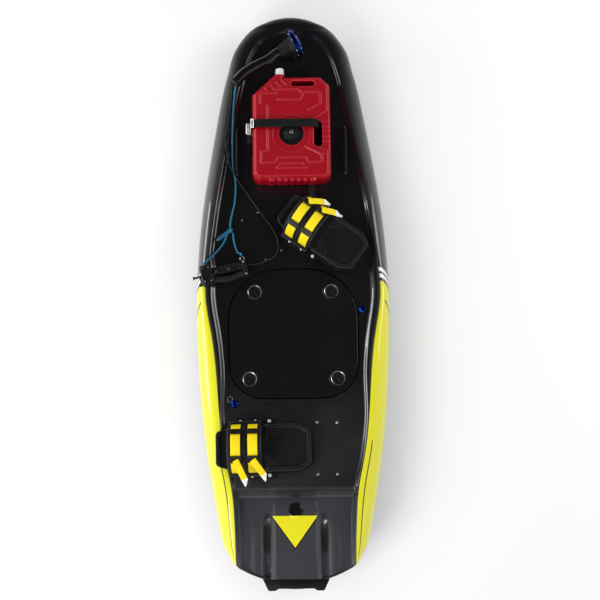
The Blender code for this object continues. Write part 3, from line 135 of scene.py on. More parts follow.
OUTLINE_SHARES = (
    (0.000, 0.319), (0.0093, 0.460), (0.0220, 0.591), (0.0412, 0.668), (0.0604, 0.719),
    (0.119, 0.789), (0.199, 0.872), (0.281, 0.933), (0.365, 0.974), (0.473, 1.000),
    (0.585, 0.974), (0.672, 0.920), (0.762, 0.837), (0.856, 0.735), (0.901, 0.668),
    (0.935, 0.610), (0.9654, 0.492), (0.9802, 0.396), (0.9879, 0.304), (0.9951, 0.190), (1.000, 0.000),
)
CREST_SHARES = (
    (-0.010, 0.560), (0.025, 0.575), (0.134, 0.607), (0.225, 0.709), (0.376, 0.805),
    (0.480, 0.898), (0.571, 0.845), (0.645, 0.792), (0.738, 0.703), (0.833, 0.591),
    (0.891, 0.511), (0.930, 0.422), (0.957, 0.288), (0.974, 0.000),
)


CREST_END_Y = TRANSOM_Y + LENGTH * CREST_SHARES[-1][0]


def mm(*values):
    """Millimetres, in tuples to any depth, as metres."""
    return tuple(mm(*value) if isinstance(value, tuple) else value / 1000 for value in values)


# Shader trees

CARBON_DARK = (0.0016, 0.0016, 0.0018)
# Painted sheen: the lighter tow tones of the twill, for the hatch and hull and for the deck
CARBON_TOW_SHEEN = (0.0060, 0.0060, 0.0070)
DECK_TOW_SHEEN = (0.055, 0.055, 0.059)
# Painted reflection: the pale grey of the room seen in the tail's clear coat
TAIL_REFLECTION_GREY = (0.044, 0.042, 0.050)
LEMON = (0.76, 0.73, 0.016)
MARK_YELLOW = (0.80, 0.74, 0.008)
FLASH_WHITE = (0.85, 0.85, 0.83)
STRIPE_DARK = (0.10, 0.10, 0.012)
BLACK = (0.0042, 0.0042, 0.0048)
TOW = 0.002


class Tree:
    """A node tree built by short calls."""

    def __init__(self, tree):
        self.tree = tree

    def feed(self, socket, value):
        if isinstance(value, bpy.types.NodeSocket):
            self.tree.links.new(value, socket)
        elif value is not None:
            socket.default_value = value

    def node(self, kind, *values, named=(), **settings):
        made = self.tree.nodes.new("ShaderNode" + kind)
        for key, value in settings.items():
            setattr(made, key, value)
        for socket, value in zip(made.inputs, values):
            self.feed(socket, value)
        for name, value in dict(named).items():
            self.feed(made.inputs[name], value)
        return made


class Shader(Tree):
    """A Principled material."""

    def __init__(self, name, colour, roughness, metallic=0.0, **values):
        self.material = bpy.data.materials.new(name)
        self.material.use_nodes = True
        super().__init__(self.material.node_tree)
        self.base = self.tree.nodes["Principled BSDF"]
        self.set("Base Color", (*colour, 1.0))
        self.set("Roughness", roughness)
        self.set("Metallic", metallic)
        self.material.diffuse_color = (*colour, 1.0)
        for key, value in values.items():
            self.set(key.replace("_", " ").title().replace("Ior", "IOR"), value)

    def set(self, name, value):
        self.feed(self.base.inputs[name], value)

    def math(self, operation, *values):
        return self.node("Math", *values, operation=operation).outputs[0]

    def product(self, first, *others):
        for other in others:
            first = self.math("MULTIPLY", first, other)
        return first

    def span(self, value, low, high, first=0.0, last=1.0):
        """A value's place between low and high, kept inside, as first to last."""
        return self.node("MapRange", value, low, high, first, last).outputs[0]

    def mix(self, share, one, other):
        made = self.node("Mix", data_type="RGBA")
        self.feed(made.inputs[0], share)
        for socket, value in ((made.inputs[6], one), (made.inputs[7], other)):
            self.feed(socket, (*value, 1.0) if isinstance(value, tuple) else value)
        return made.outputs[2]

    def place(self):
        return self.node("TexCoord").outputs["Object"]

    def uv(self, name):
        return self.node("UVMap", uv_map=name).outputs[0]

    def split(self, vector):
        return self.node("SeparateXYZ", vector).outputs[:2]

    def noise(self, vector, scale, detail=2.0):
        named = {"Vector": vector, "Scale": scale, "Detail": detail, "Roughness": 0.5}
        return self.node("TexNoise", named=named).outputs["Fac"]

    def bump(self, height, distance, strength):
        named = {"Height": height, "Distance": distance, "Strength": strength}
        self.set("Normal", self.node("Bump", named=named).outputs[0])

    def wear(self):
        """Roughness that varies a little over the surface."""
        plain = self.base.inputs["Roughness"].default_value
        cloud = self.noise(self.place(), 70.0, 4.0)
        self.set("Roughness", self.span(cloud, 0.3, 0.7, plain - 0.05, plain + 0.05))


def twill(shader, vector):
    """A 2/2 twill: which tow is on top, and the height over the cloth."""
    parts = [shader.math("DIVIDE", part, TOW) for part in shader.split(vector)]
    lag = shader.math("SUBTRACT", *(shader.math("FLOOR", part) for part in parts))
    on_top = shader.math("LESS_THAN", shader.math("FLOORED_MODULO", lag, 4.0), 2.0)
    heights = []
    for part in parts:
        middle = shader.math("SUBTRACT", shader.math("FRACT", part), 0.5)
        heights.append(shader.math("SUBTRACT", 1.0, shader.product(middle, middle, 4.0)))
    return on_top, shader.node("Mix", on_top, None, heights[1], heights[0]).outputs[0]


def carbon(name, cloth=None, tow_sheen=CARBON_TOW_SHEEN):
    """Black twill under a thick clear coat, on a cloth's UV or on the object's axes; the lighter tow
    tone is painted sheen over the twill's real pattern.
    """
    shader = Shader(name, CARBON_DARK, 0.38, coat_weight=1.0, coat_roughness=0.025,
                    specular_ior_level=0.3)
    on_top, height = twill(shader, shader.uv(cloth) if cloth else shader.place())
    # Painted sheen: the tows on top take the lighter tone
    sheen = shader.mix(on_top, CARBON_DARK, tow_sheen)
    cloud = shader.noise(shader.place(), 9.0, 3.0)
    colour = shader.mix(shader.span(cloud, 0.35, 0.7, 0.0, 0.45), sheen, CARBON_DARK)
    shader.set("Base Color", colour)
    shader.bump(height, 0.0002, 0.35)
    return shader, colour


def moulded(name, colour, roughness, grain=900.0, depth=0.00008, edge=None, **values):
    """Grained plastic, rubber or foam; edge is the colour of a painted highlight on raised edges,
    found by pointiness, and its two limits.
    """
    shader = Shader(name, colour, roughness, **values)
    # Painted highlight: sharp edges take the paler edge colour; without it, a random paler mottle, the
    # material's own tone
    if edge:
        paler, low, high = edge
        share = shader.span(shader.node("NewGeometry").outputs["Pointiness"], low, high)
    else:
        paler = tuple(min(1.0, part * 1.25 + 0.004) for part in colour)
        share = shader.span(shader.noise(shader.place(), 25.0, 3.0), 0.3, 0.7)
    shader.set("Base Color", shader.mix(share, colour, paler))
    shader.wear()
    shader.bump(shader.noise(shader.place(), grain), depth, 0.6)
    return shader.material


def brushed(name, colour, roughness):
    """Turned or brushed metal."""
    shader = Shader(name, colour, roughness, 1.0)
    place = shader.node("Mapping", shader.place(), None, None, (900.0, 900.0, 30.0)).outputs[0]
    streaks = shader.noise(place, 1.0, 3.0)
    shader.set("Roughness", shader.span(streaks, 0.3, 0.7, roughness - 0.08, roughness + 0.10))
    shader.bump(streaks, 0.00003, 0.5)
    return shader.material


def braid(name, colour, other, pitch=0.0032):
    """Braided sheath: strands that cross on a cord's own UV, with painted shade in the hollows between
    strands, which take the darker colour.
    """
    shader = Shader(name, colour, 0.6)
    around, along = shader.split(shader.uv("along"))
    waves = []
    for sign in (1.0, -1.0):
        lean = shader.math("MULTIPLY_ADD", around, sign, along)
        waves.append(shader.math("SINE", shader.product(lean, math.tau / pitch)))
    height = shader.math("MAXIMUM", *waves)
    # Painted shade: the low places between strands take the darker colour
    shader.set("Base Color", shader.mix(shader.span(height, -0.2, 0.9), other, colour))
    shader.bump(height, 0.0004, 0.7)
    return shader.material


def webbing(name, colour, roughness, level, pitch=0.0026, depth=0.0002):
    """Woven band: short ribs across it, on its own UV, with a painted highlight that makes the rib
    tops paler.
    """
    shader = Shader(name, colour, roughness, specular_ior_level=level)
    across, along = shader.split(shader.uv("along"))
    lag = shader.math("PINGPONG", across, pitch)
    wave = shader.math("SINE", shader.product(shader.math("ADD", along, lag), math.tau / pitch))
    paler = tuple(min(1.0, part * 1.2 + 0.003) for part in colour)
    # Painted highlight: the rib tops take the paler colour
    shader.set("Base Color", shader.mix(shader.span(wave, -1.0, 1.0), colour, paler))
    shader.bump(wave, depth, 0.5)
    return shader.material


def painted(name):
    """The deck's twill with its lemon side panels, white flashes, thin stripes and tail mark, and with
    painted sheen on the twill and a painted reflection behind the step.
    """
    shader, colour = carbon(name, "cloth", DECK_TOW_SHEEN)
    math_of, span, product = shader.math, shader.span, shader.product
    band, y = shader.split(shader.uv("band"))
    x, length = shader.split(shader.uv("plan"))

    def between(value, low, high, soft):
        return product(span(value, low - soft, low + soft), span(value, high + soft, high - soft))

    def paint(share, tone):
        nonlocal colour
        colour = shader.mix(share, colour, tone)

    # Painted sheen: the twill shows bright toward the tail and along the front rails and is darkened
    # nearly to plain black elsewhere
    weave_sheen_mask = math_of("MAXIMUM", span(y, -0.30, -0.50, 0.0, 0.75),
                    product(span(band, -0.45, -0.05), span(y, 0.76, 0.40)))
    paint(span(weave_sheen_mask, 0.0, 1.0, 0.88, 0.0), CARBON_DARK)
    # Painted reflection: behind the step and outside the groove ovals, the deck turns pale grey for
    # the room reflected in its coat; the grooves keep the carbon colour
    behind = product(span(y, -0.664, -0.668), span(band, -0.3, -0.45))
    ovals = []
    for value, middle, half in ((math_of("ABSOLUTE", x), GROOVE_X, 0.017), (length, -0.772, 0.062)):
        away = math_of("DIVIDE", math_of("SUBTRACT", value, middle), half)
        ovals.append(product(away, away))
    paint(product(behind, span(math_of("ADD", *ovals), 0.80, 1.05)), TAIL_REFLECTION_GREY)
    reach = product(math_of("ADD", length, 0.815), 0.74)
    room = math_of("SUBTRACT", reach, math_of("ABSOLUTE", math_of("ADD", x, 0.002)))
    mark = product(behind, span(length, -0.7205, -0.7215))
    paint(product(mark, span(room, -0.0042, -0.0032)), CARBON_DARK)
    paint(product(mark, span(room, 0.0, 0.0009)), MARK_YELLOW)

    bow = math_of("POWER", math_of("MAXIMUM", band, 0.0), 1.6)
    sweep = math_of("ADD", y, product(bow, 0.055))
    on_rail = span(band, -0.012, 0.0)
    slash = between(math_of("ADD", sweep, product(band, 0.03)), -0.052, -0.043, 0.002)
    whole = math_of("SUBTRACT", 1.0, product(slash, between(band, 0.25, 0.85, 0.02)))
    panel = product(on_rail, span(sweep, 0.004, -0.002), span(y, -0.872, -0.866), whole)
    flashes = (between(sweep, low, low + 0.013, 0.0012) for low in (0.034, 0.013))
    stripe = product(between(band, 0.16, 0.20, 0.006), between(y, -0.84, -0.50, 0.004))
    paint(panel, LEMON)
    paint(product(on_rail, math_of("MAXIMUM", *flashes)), FLASH_WHITE)
    paint(product(stripe, panel), STRIPE_DARK)
    shader.set("Base Color", colour)
    return shader.material


def marked_plug():
    """Black plastic with the tip of the lemon mark across its tailward edge."""
    shader = Shader("marked_plug", BLACK, 0.35, specular_ior_level=0.32)
    share = shader.span(shader.split(shader.place())[1], -0.0144, -0.0152)
    shader.set("Base Color", shader.mix(share, BLACK, MARK_YELLOW))
    shader.wear()
    return shader.material


LOOKS = {
    "deck": painted("deck_carbon"),
    "carbon": carbon("carbon_twill")[0].material,
    "hull": carbon("hull_carbon", "cloth")[0].material,
    "satin_black": moulded("satin_plastic", BLACK, 0.40, 700.0, specular_ior_level=0.32),
    "black_rubber": moulded("soft_rubber", (0.0042, 0.0042, 0.0046), 0.60, 500.0, 0.0001,
                            specular_ior_level=0.28),
    # Painted highlight: the foam's rims turn pale grey
    "foam_pad": moulded("grained_foam", (0.0032, 0.0032, 0.0038), 0.66, 260.0, 0.0003,
                        ((0.034, 0.034, 0.037), 0.505, 0.57), specular_ior_level=0.28),
    "strap_yellow": webbing("yellow_strap", (0.86, 0.66, 0.005), 0.42, 0.25, 0.0016, 0.0001),
    "black_webbing": webbing("black_band", (0.0030, 0.0052, 0.0050), 0.7, 0.2),
    "grey_webbing": webbing("grey_band", (0.014, 0.014, 0.015), 0.7, 0.2),
    # Painted highlight: the can's edges and relief ribs turn a paler red
    "can_red": moulded("can_plastic", (0.33, 0.0002, 0.0078), 0.33, 1100.0, 0.00006,
                       ((0.66, 0.035, 0.080), 0.506, 0.56), specular_ior_level=0.30),
    "gloss_sleeve": moulded("sleeve_vinyl", (0.0025, 0.0025, 0.0030), 0.16, 400.0, 0.00004,
                            coat_weight=0.6, specular_ior_level=0.3),
    "white_plastic": moulded("pale_plastic", (0.78, 0.78, 0.76), 0.40),
    "bright_metal": brushed("bright_steel", (0.68, 0.68, 0.70), 0.24),
    "pump_metal": brushed("cast_alloy", (0.42, 0.43, 0.45), 0.38),
    "engine_metal": moulded("cast_iron", (0.20, 0.205, 0.21), 0.5, 300.0, 0.0002, metallic=0.8),
    "blue_anodised": brushed("blue_metal", (0.0035, 0.034, 0.29), 0.22),
    "hub_blue": brushed("deep_blue_metal", (0.0020, 0.018, 0.17), 0.20),
    # Painted shade: the second colour of each braid fills the hollows between strands
    "rope_blue": braid("blue_braid", (0.008, 0.21, 0.37), (0.002, 0.055, 0.12)),
    "cable": braid("cable_sheath", (0.014, 0.014, 0.015), (0.006, 0.006, 0.007), 0.0014),
    "marked_plug": marked_plug(),
}
# The CAD slots of the looks that aren't named after one
SLOTS = {
    "deck": "carbon", "hull": "carbon", "grey_webbing": "black_webbing", "cable": "satin_black",
    "gloss_sleeve": "black_rubber", "hub_blue": "blue_anodised", "marked_plug": "satin_black",
}


def dress_nodes():
    """Gives each CAD node the procedural look of its slot."""
    for obj in NODES.values():
        old = [slot.material.name.split(".")[0] for slot in obj.material_slots if slot.material]
        for slot in obj.material_slots:
            slot.material = LOOKS.get(old[0] if old else None, LOOKS["satin_black"])


# Placing pieces

def put(obj, node=None, where=None, body="board", slot=None):
    """Takes a piece made in the board's frame to its stance, hides the CAD node it stands for and puts
    it in its body.
    """
    obj.matrix_world = STANCE @ (where or Matrix.Identity(4))
    bpy.context.view_layer.update()
    if node:
        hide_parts(node)
    look = next(key for key, made in LOOKS.items() if made == obj.data.materials[0])
    slot or SLOTS.get(look, look)
    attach(obj, body)
    return obj


def new_object(name, data, *looks):
    obj = bpy.data.objects.new(name, data)
    bpy.context.scene.collection.objects.link(obj)
    for look in filter(None, looks):
        data.materials.append(LOOKS[look])
    return obj


def mesh_of(name, bm):
    mesh = bpy.data.meshes.new(name)
    bm.to_mesh(mesh)
    bm.free()
    mesh.shade_smooth()
    return mesh


def face_out(bm):
    bmesh.ops.recalc_face_normals(bm, faces=bm.faces)
    if bm.calc_volume(signed=True) < 0:
        bmesh.ops.reverse_faces(bm, faces=bm.faces)



def applied(obj):
    """The same object with its modifiers worked into its mesh."""
    bpy.context.view_layer.update()
    graph = bpy.context.evaluated_depsgraph_get()
    mesh = bpy.data.meshes.new_from_object(obj.evaluated_get(graph), depsgraph=graph,
                                           preserve_all_data_layers=True)
    obj.modifiers.clear()
    obj.data = mesh
    return obj


def sharp(obj, angle):
    obj.data.shade_smooth()
    obj.data.set_sharp_from_angle(angle=math.radians(angle))
    return obj


def at(x, y, z=0.0):
    return Matrix.Translation((x, y, z))


def moved(obj, where):
    obj.matrix_world = where
    return obj


def turned_by(angle, axis):
    return Matrix.Rotation(angle, 4, axis)


BACKWARD = turned_by(-math.pi / 2, "X")


def facing(place, direction):
    turn = Vector(direction).to_track_quat("Z", "Y").to_matrix().to_4x4()
    return Matrix.Translation(place) @ turn


# Lines and outlines

def ease(start, end, value):
    share = min(1, max(0, (value - start) / (end - start)))
    return share * share * (3 - 2 * share)


def spline_points(points, steps):
    points = [Vector(point) for point in points]
    before = [points[0] * 2 - points[1]] + points + [points[-1] * 2 - points[-2]]
    found = []
    for i in range(len(points) - 1):
        a, b, c, d = before[i:i + 4]
        for k in range(steps):
            t = k / steps
            found.append(0.5 * (2 * b + (c - a) * t + (2 * a - 5 * b + 4 * c - d) * t * t
                                + (3 * b - a - 3 * c + d) * t * t * t))
    found.append(points[-1])
    return found


def interpolate(curve, y):
    if y <= curve[0][0]:
        return curve[0][1]
    for low, high in zip(curve, curve[1:]):
        if low[0] <= y <= high[0] and high[0] > low[0]:
            return low[1] + (high[1] - low[1]) * (y - low[0]) / (high[0] - low[0])
    return curve[-1][1]


def plan_curve(shares):
    points = [(TRANSOM_Y + LENGTH * t, HALF_BEAM * w) for t, w in shares]
    points.append((points[-2][0], -points[-2][1]))
    curve = spline_points([(y, w, 0) for y, w in points], CURVE_STEPS)
    return [(p.x, p.y) for p in curve[:-CURVE_STEPS]]


OUTLINE = plan_curve(OUTLINE_SHARES)
CREST = plan_curve(CREST_SHARES)


def keel_height(y):
    share = max(0, (y - ROCKER_START_Y) / (NOSE_Y - ROCKER_START_Y))
    return NOSE_ROCKER * share * share


def main_deck_height(y):
    share = max(0, (y - RISE_START_Y) / (NOSE_Y - RISE_START_Y))
    return DECK_Z + NOSE_RISE * share * math.sqrt(share)


def deck_height(y):
    return main_deck_height(y) - TAIL_DROP * ease(STEP_Y + STEP_RUN / 2, STEP_Y - STEP_RUN / 2, y)


def crest_height(y):
    fall = CREST_FALL * ease(CREST_FALL_START_Y, CREST_FALL_END_Y, y)
    return main_deck_height(y) + CREST_RISE - fall


def rail_height(y):
    keel = keel_height(y)
    return keel + RAIL_SHARE * (crest_height(y) - keel)


def top_height(y):
    """The crest's height, which falls to the rail in a round nose."""
    share = min(1, max(0, (y - CREST_END_Y) / (NOSE_Y - CREST_END_Y)))
    return rail_height(y) + (crest_height(y) - rail_height(y)) * math.sqrt(1 - share * share)


def crest_edges(y):
    """Half widths at the crest line, at the wall's top and at the wall's foot."""
    front = ease(WIDE_FRONT_Y, WIDE_FULL_Y, y)
    crest_half = max(min(interpolate(CREST, y), interpolate(OUTLINE, y) - EDGE_LAND), EDGE_LAND)
    shoulder = SHOULDER * front * ease(SHOULDER_END_Y, SHOULDER_TAPER_Y, y)
    wall = CREST_WALL + WALL_SPREAD * front * ease(WALL_END_Y, WALL_TAPER_Y, y)
    top = crest_half - shoulder
    return crest_half, top, top - min(wall, crest_half / 2)


def rounded(corners, steps=7):
    """An outline from (x, y, radius) corners, with an arc at each."""
    found = []
    for i, (x, y, radius) in enumerate(corners):
        corner = Vector((x, y))
        before = (Vector(corners[i - 1][:2]) - corner).normalized()
        after = (Vector(corners[(i + 1) % len(corners)][:2]) - corner).normalized()
        if radius <= 0:
            found.append((x, y))
            continue
        opening = before.angle(after)
        reach = radius / math.tan(opening / 2)
        centre = corner + (before + after).normalized() * (radius / math.sin(opening / 2))
        start = corner + before * reach - centre
        turn = start.angle_signed(corner + after * reach - centre)
        for k in range(steps + 1):
            point = centre + Matrix.Rotation(-turn * k / steps, 2) @ start
            found.append((point.x, point.y))
    return found


def circle(x, y, radius, steps=48):
    turns = [2 * math.pi * k / steps for k in range(steps)]
    return [(x + radius * math.cos(a), y + radius * math.sin(a)) for a in turns]


def mirrored(corners):
    """Corners and their mirror images across Y, back in order."""
    return [*corners, *((x, -y, radius) for x, y, radius in reversed(corners))]


def bar_ring(width, height, radius, steps=3):
    half, tall = width / 2, height / 2
    return rounded(mirrored([(-half, -tall, radius), (half, -tall, radius)]), steps)


def box(x, y, far_x, far_y):
    return [(x, y), (far_x, y), (far_x, far_y), (x, far_y)]


def shifted(outline, x, y):
    return [(a + x, b + y) for a, b in outline]


def hatch_outline(inset, steps=20):
    rear_half, half = HATCH_REAR_HALF - inset, HATCH_HALF - inset
    front, rear = HATCH_FRONT_Y - inset, HATCH_REAR_Y + inset
    front_radius, rear_radius = HATCH_FRONT_RADIUS - inset, HATCH_REAR_RADIUS - inset
    return rounded([(-rear_half, rear, rear_radius), (rear_half, rear, rear_radius),
                    (half, front, front_radius), (-half, front, front_radius)], steps)


def drawn_in(corners, by):
    """An outline's corners moved inward by one distance."""
    found = []
    for i, (x, y, radius) in enumerate(corners):
        corner = Vector((x, y))
        before = (corner - Vector(corners[i - 1][:2])).normalized()
        after = (Vector(corners[(i + 1) % len(corners)][:2]) - corner).normalized()
        one, other = Vector((-before.y, before.x)), Vector((-after.y, after.x))
        moved = corner + (one + other) * (by / (1 + one.dot(other)))
        found.append((moved.x, moved.y, max(radius - by, 0.0015)))
    return found


def star(radius, depth, lobes, steps=12):
    found = []
    for k in range(lobes * steps):
        turn = math.tau * k / (lobes * steps)
        size = radius - depth * (1 - math.cos(lobes * turn)) / 2
        found.append((size * math.cos(turn), size * math.sin(turn)))
    return found


def bent(points, radius, steps=6):
    """An open line with its inner corners rounded."""
    points = [Vector(point) for point in points]
    found = [points[0]]
    for before, corner, after in zip(points, points[1:], points[2:]):
        reach = min(radius, (before - corner).length / 2, (after - corner).length / 2)
        start = corner + (before - corner).normalized() * reach
        end = corner + (after - corner).normalized() * reach
        for k in range(steps + 1):
            t = k / steps
            found.append(start.lerp(corner, t).lerp(corner.lerp(end, t), t))
    return [*found, points[-1]]


def reaches(points):
    """The distance along a line to each of its points."""
    return [0.0, *accumulate(math.dist(a, b) for a, b in zip(points, points[1:]))]


def headings(points):
    last = len(points) - 1
    return [(points[min(i + 1, last)] - points[max(i - 1, 0)]).normalized()
            for i in range(last + 1)]


# Shapes

def plate(name, outlines, thickness, look=None, centre=(0, 0, 0)):
    """A flat piece from its outline and its holes, half its thickness each side of its centre."""
    data = bpy.data.curves.new(name, "CURVE")
    data.dimensions = "2D"
    data.fill_mode = "BOTH"
    data.extrude = thickness / 2
    for outline in outlines:
        spline = data.splines.new("POLY")
        spline.points.add(len(outline) - 1)
        for point, (x, y) in zip(spline.points, outline):
            point.co = (x, y, 0, 1)
        spline.use_cyclic_u = True
    flat = new_object(name, data)
    bpy.context.view_layer.update()
    graph = bpy.context.evaluated_depsgraph_get()
    mesh = bpy.data.meshes.new_from_object(flat.evaluated_get(graph))
    bpy.data.objects.remove(flat)
    bm = bmesh.new()
    bm.from_mesh(mesh)
    bmesh.ops.remove_doubles(bm, verts=bm.verts, dist=0.00002)
    bmesh.ops.dissolve_limit(bm, angle_limit=math.radians(0.5), verts=bm.verts, edges=bm.edges)
    bmesh.ops.translate(bm, vec=centre, verts=bm.verts)
    face_out(bm)
    bm.to_mesh(mesh)
    bm.free()
    mesh.materials.clear()
    obj = new_object(name, mesh, look)
    obj.name = name
    return obj


def bevel(obj, width, segments=3, angle=40.0):
    change = obj.modifiers.new("edges", "BEVEL")
    change.width = width
    change.segments = segments
    change.limit_method = "ANGLE"
    change.angle_limit = math.radians(angle)
    change.harden_normals = False
    return obj


def pillar(outline, low, high, look=None, name="piece"):
    return plate(name, [outline], high - low, look, (0, 0, (low + high) / 2))


def carved(obj, cutters):
    for cutter in cutters:
        change = obj.modifiers.new("cut", "BOOLEAN")
        change.operation = "DIFFERENCE"
        change.solver = "EXACT"
        change.object = cutter
    return applied(obj)


def clear(cutters):
    for cutter in cutters:
        bpy.data.objects.remove(cutter)


def turned(name, profile, look=None, steps=48, closed=False):
    """A round piece about Z from a (radius, height) profile that runs down its outer side."""
    bm = bmesh.new()
    rows = []
    for radius, height in profile:
        ring = circle(0, 0, radius, steps) if radius else [(0, 0)]
        rows.append([bm.verts.new((x, y, height)) for x, y in ring])
    if closed:
        rows.append(rows[0])
    for low, high in zip(rows, rows[1:]):
        for k in range(steps):
            j = (k + 1) % steps
            loop = dict.fromkeys((low[k % len(low)], low[j % len(low)],
                                  high[j % len(high)], high[k % len(high)]))
            if len(loop) > 2:
                bm.faces.new(list(loop))
    face_out(bm)
    return sharp(new_object(name, mesh_of(name, bm), look), 30)


def loft(name, rows, looks, maps=None, ends=False):
    """One closed body through rows of points; each UV map is a table by row and place."""
    bm = bmesh.new()
    layers = [(bm.loops.layers.uv.new(key), table) for key, table in (maps or {}).items()]
    rows = [[bm.verts.new(point) for point in row] for row in rows]
    count = len(rows[0])
    for r, (low, high) in enumerate(zip(rows, rows[1:])):
        for i in range(count):
            j = (i + 1) % count
            face = bm.faces.new((low[i], low[j], high[j], high[i]))
            for layer, table in layers:
                places = ((r, i), (r, i + 1), (r + 1, i + 1), (r + 1, i))
                for loop, (row, k) in zip(face.loops, places):
                    loop[layer].uv = table[row][k % len(table[row])]
    for end in (0, -1):
        face = bm.faces.new(rows[end])
        for layer, table in layers if ends else ():
            for loop, value in zip(face.loops, table[end]):
                loop[layer].uv = value
    face_out(bm)
    return new_object(name, mesh_of(name, bm), *looks)


def tube(name, points, radius, look=None, sides=16, radius_at=None):
    """A round bar or cord along points with flat ends; its UV is metres round and along."""
    points = [Vector(point) for point in points]
    reach, rows = reaches(points), []
    side = headings(points)[0].orthogonal()
    for point, along, run in zip(points, headings(points), reach):
        side = (side - along * side.dot(along)).normalized()
        other = along.cross(side)
        ring = circle(0, 0, radius_at(run) if radius_at else radius, sides)
        rows.append([point + side * u + other * v for u, v in ring])
    table = [[(math.tau * radius * k / sides, run) for k in range(sides + 1)] for run in reach]
    return sharp(loft(name, rows, [look], {"along": table}), 50)


def swept(name, points, across, ring, look):
    """A flat or shaped bar carried along points in one plane; across is its level side."""
    points, across = [Vector(point) for point in points], Vector(across)
    rows = []
    for point, along in zip(points, headings(points)):
        side = (across - along * across.dot(along)).normalized()
        over = side.cross(along)
        rows.append([point + side * x + over * z for x, z in ring])
    run = reaches([*ring, ring[0]])
    table = [[(round_it, along) for round_it in run] for along in reaches(points)]
    return sharp(loft(name, rows, [look], {"along": table}), 40)


def joined(name, pieces):
    """Several pieces, each in its own place, as one object."""
    for piece in pieces:
        applied(piece)
        piece.data.transform(piece.matrix_world)
        moved(piece, Matrix.Identity(4))
    bpy.context.view_layer.update()
    first = pieces[0]
    if len(pieces) > 1:
        with bpy.context.temp_override(active_object=first, object=first, selected_objects=pieces,
                                       selected_editable_objects=pieces):
            bpy.ops.object.join()
    first.name = name
    return first


def remeshed(obj, voxel):
    look = obj.data.materials[0]
    change = obj.modifiers.new("skin", "REMESH")
    change.mode = "VOXEL"
    change.voxel_size = voxel
    change.use_smooth_shade = True
    soft = obj.modifiers.new("soft", "SMOOTH")
    soft.iterations = 3
    soft.factor = 0.5
    applied(obj)
    obj.data.materials.clear()
    obj.data.materials.append(look)
    return obj


def ribs(points, width, low, high, look=None):
    """Upright ribs along a line of (x, y) points."""
    made = []
    for a, b in zip(points, points[1:]):
        a, b = Vector(a), Vector(b)
        along = (b - a).normalized() * width / 2
        side = Vector((-along.y, along.x))
        corners = (a - along - side, b + along - side, b + along + side, a - along + side)
        made.append(pillar([tuple(corner) for corner in corners], low, high, look))
    return made


def rounded_box(name, size, edge, look, where, segments=3):
    bm = bmesh.new()
    bmesh.ops.create_cube(bm, size=1)
    bmesh.ops.scale(bm, vec=size, verts=bm.verts)
    return moved(bevel(new_object(name, mesh_of(name, bm), look), edge, segments), where)


def screw(radius, height, look, steps=20):
    """A low domed head with a round recess."""
    profile = [(0, 0.35), (0.38, 0.35), (0.45, 1), (0.75, 0.92), (1, 0.4), (1, 0), (0, 0)]
    return turned("screw", [(radius * r, height * h) for r, h in profile], look, steps)


def put_screws(name, spots, radius, height, look="bright_metal", where=None, steps=20):
    heads = [moved(screw(radius, height, look, steps), spot) for spot in spots]
    put(joined(name, heads), None, where)


def puff(obj, cap):
    """Swells a soft piece by air pressure, no point by more than the cap."""
    before = [vert.co.copy() for vert in obj.data.vertices]
    change = obj.modifiers.new("air", "CLOTH")
    settings = change.settings
    settings.quality = 4
    settings.use_pressure = True
    settings.uniform_pressure_force = 4
    settings.effector_weights.gravity = 0
    for step in range(1, 13):
        bpy.context.scene.frame_set(step)
    applied(obj)
    bpy.context.scene.frame_set(1)
    for vert, old in zip(obj.data.vertices, before):
        move = vert.co - old
        if move.length > cap:
            vert.co = old + move * (cap / move.length)
    return obj


# Deck and hull skins

RAIL_STEPS = 16
FLOOR_STEPS = 22
WALL_STEPS = 7


def make_stations():
    chosen = [OUTLINE[0][0]]
    last = OUTLINE[0]
    tip = len(OUTLINE) - 2
    for point in OUTLINE[1:tip]:
        if math.dist(point, last) > STATION_PITCH / 2:
            steps = max(1, math.ceil((point[0] - last[0]) / STATION_PITCH))
            chosen.extend(last[0] + (point[0] - last[0]) * k / steps for k in range(1, steps + 1))
            last = point
    chosen.append(OUTLINE[tip][0])
    return sorted(set(chosen))


STATIONS = make_stations()


def floor_shape(x, y):
    """The floor's rise over the plain deck near the tail."""
    hump = HUMP_RISE * ease(HUMP_FRONT_Y, HUMP_FRONT_Y - HUMP_RUN, y)
    share = ease(GROOVE_FRONT_Y, GROOVE_FRONT_Y - GROOVE_RUN, y)
    middle = ease(HUMP_HALF + HUMP_EDGE, HUMP_HALF, x) * hump
    reach = abs(x - GROOVE_X) / HUMP_EDGE
    groove = -GROOVE_DEPTH * share * max(0, math.cos(min(1, reach) * math.pi / 2)) ** 1.5
    ridge = RIDGE_RISE * share * ease(RIDGE_HALF + HUMP_EDGE, RIDGE_HALF, abs(x - RIDGE_X))
    return middle + groove + ridge


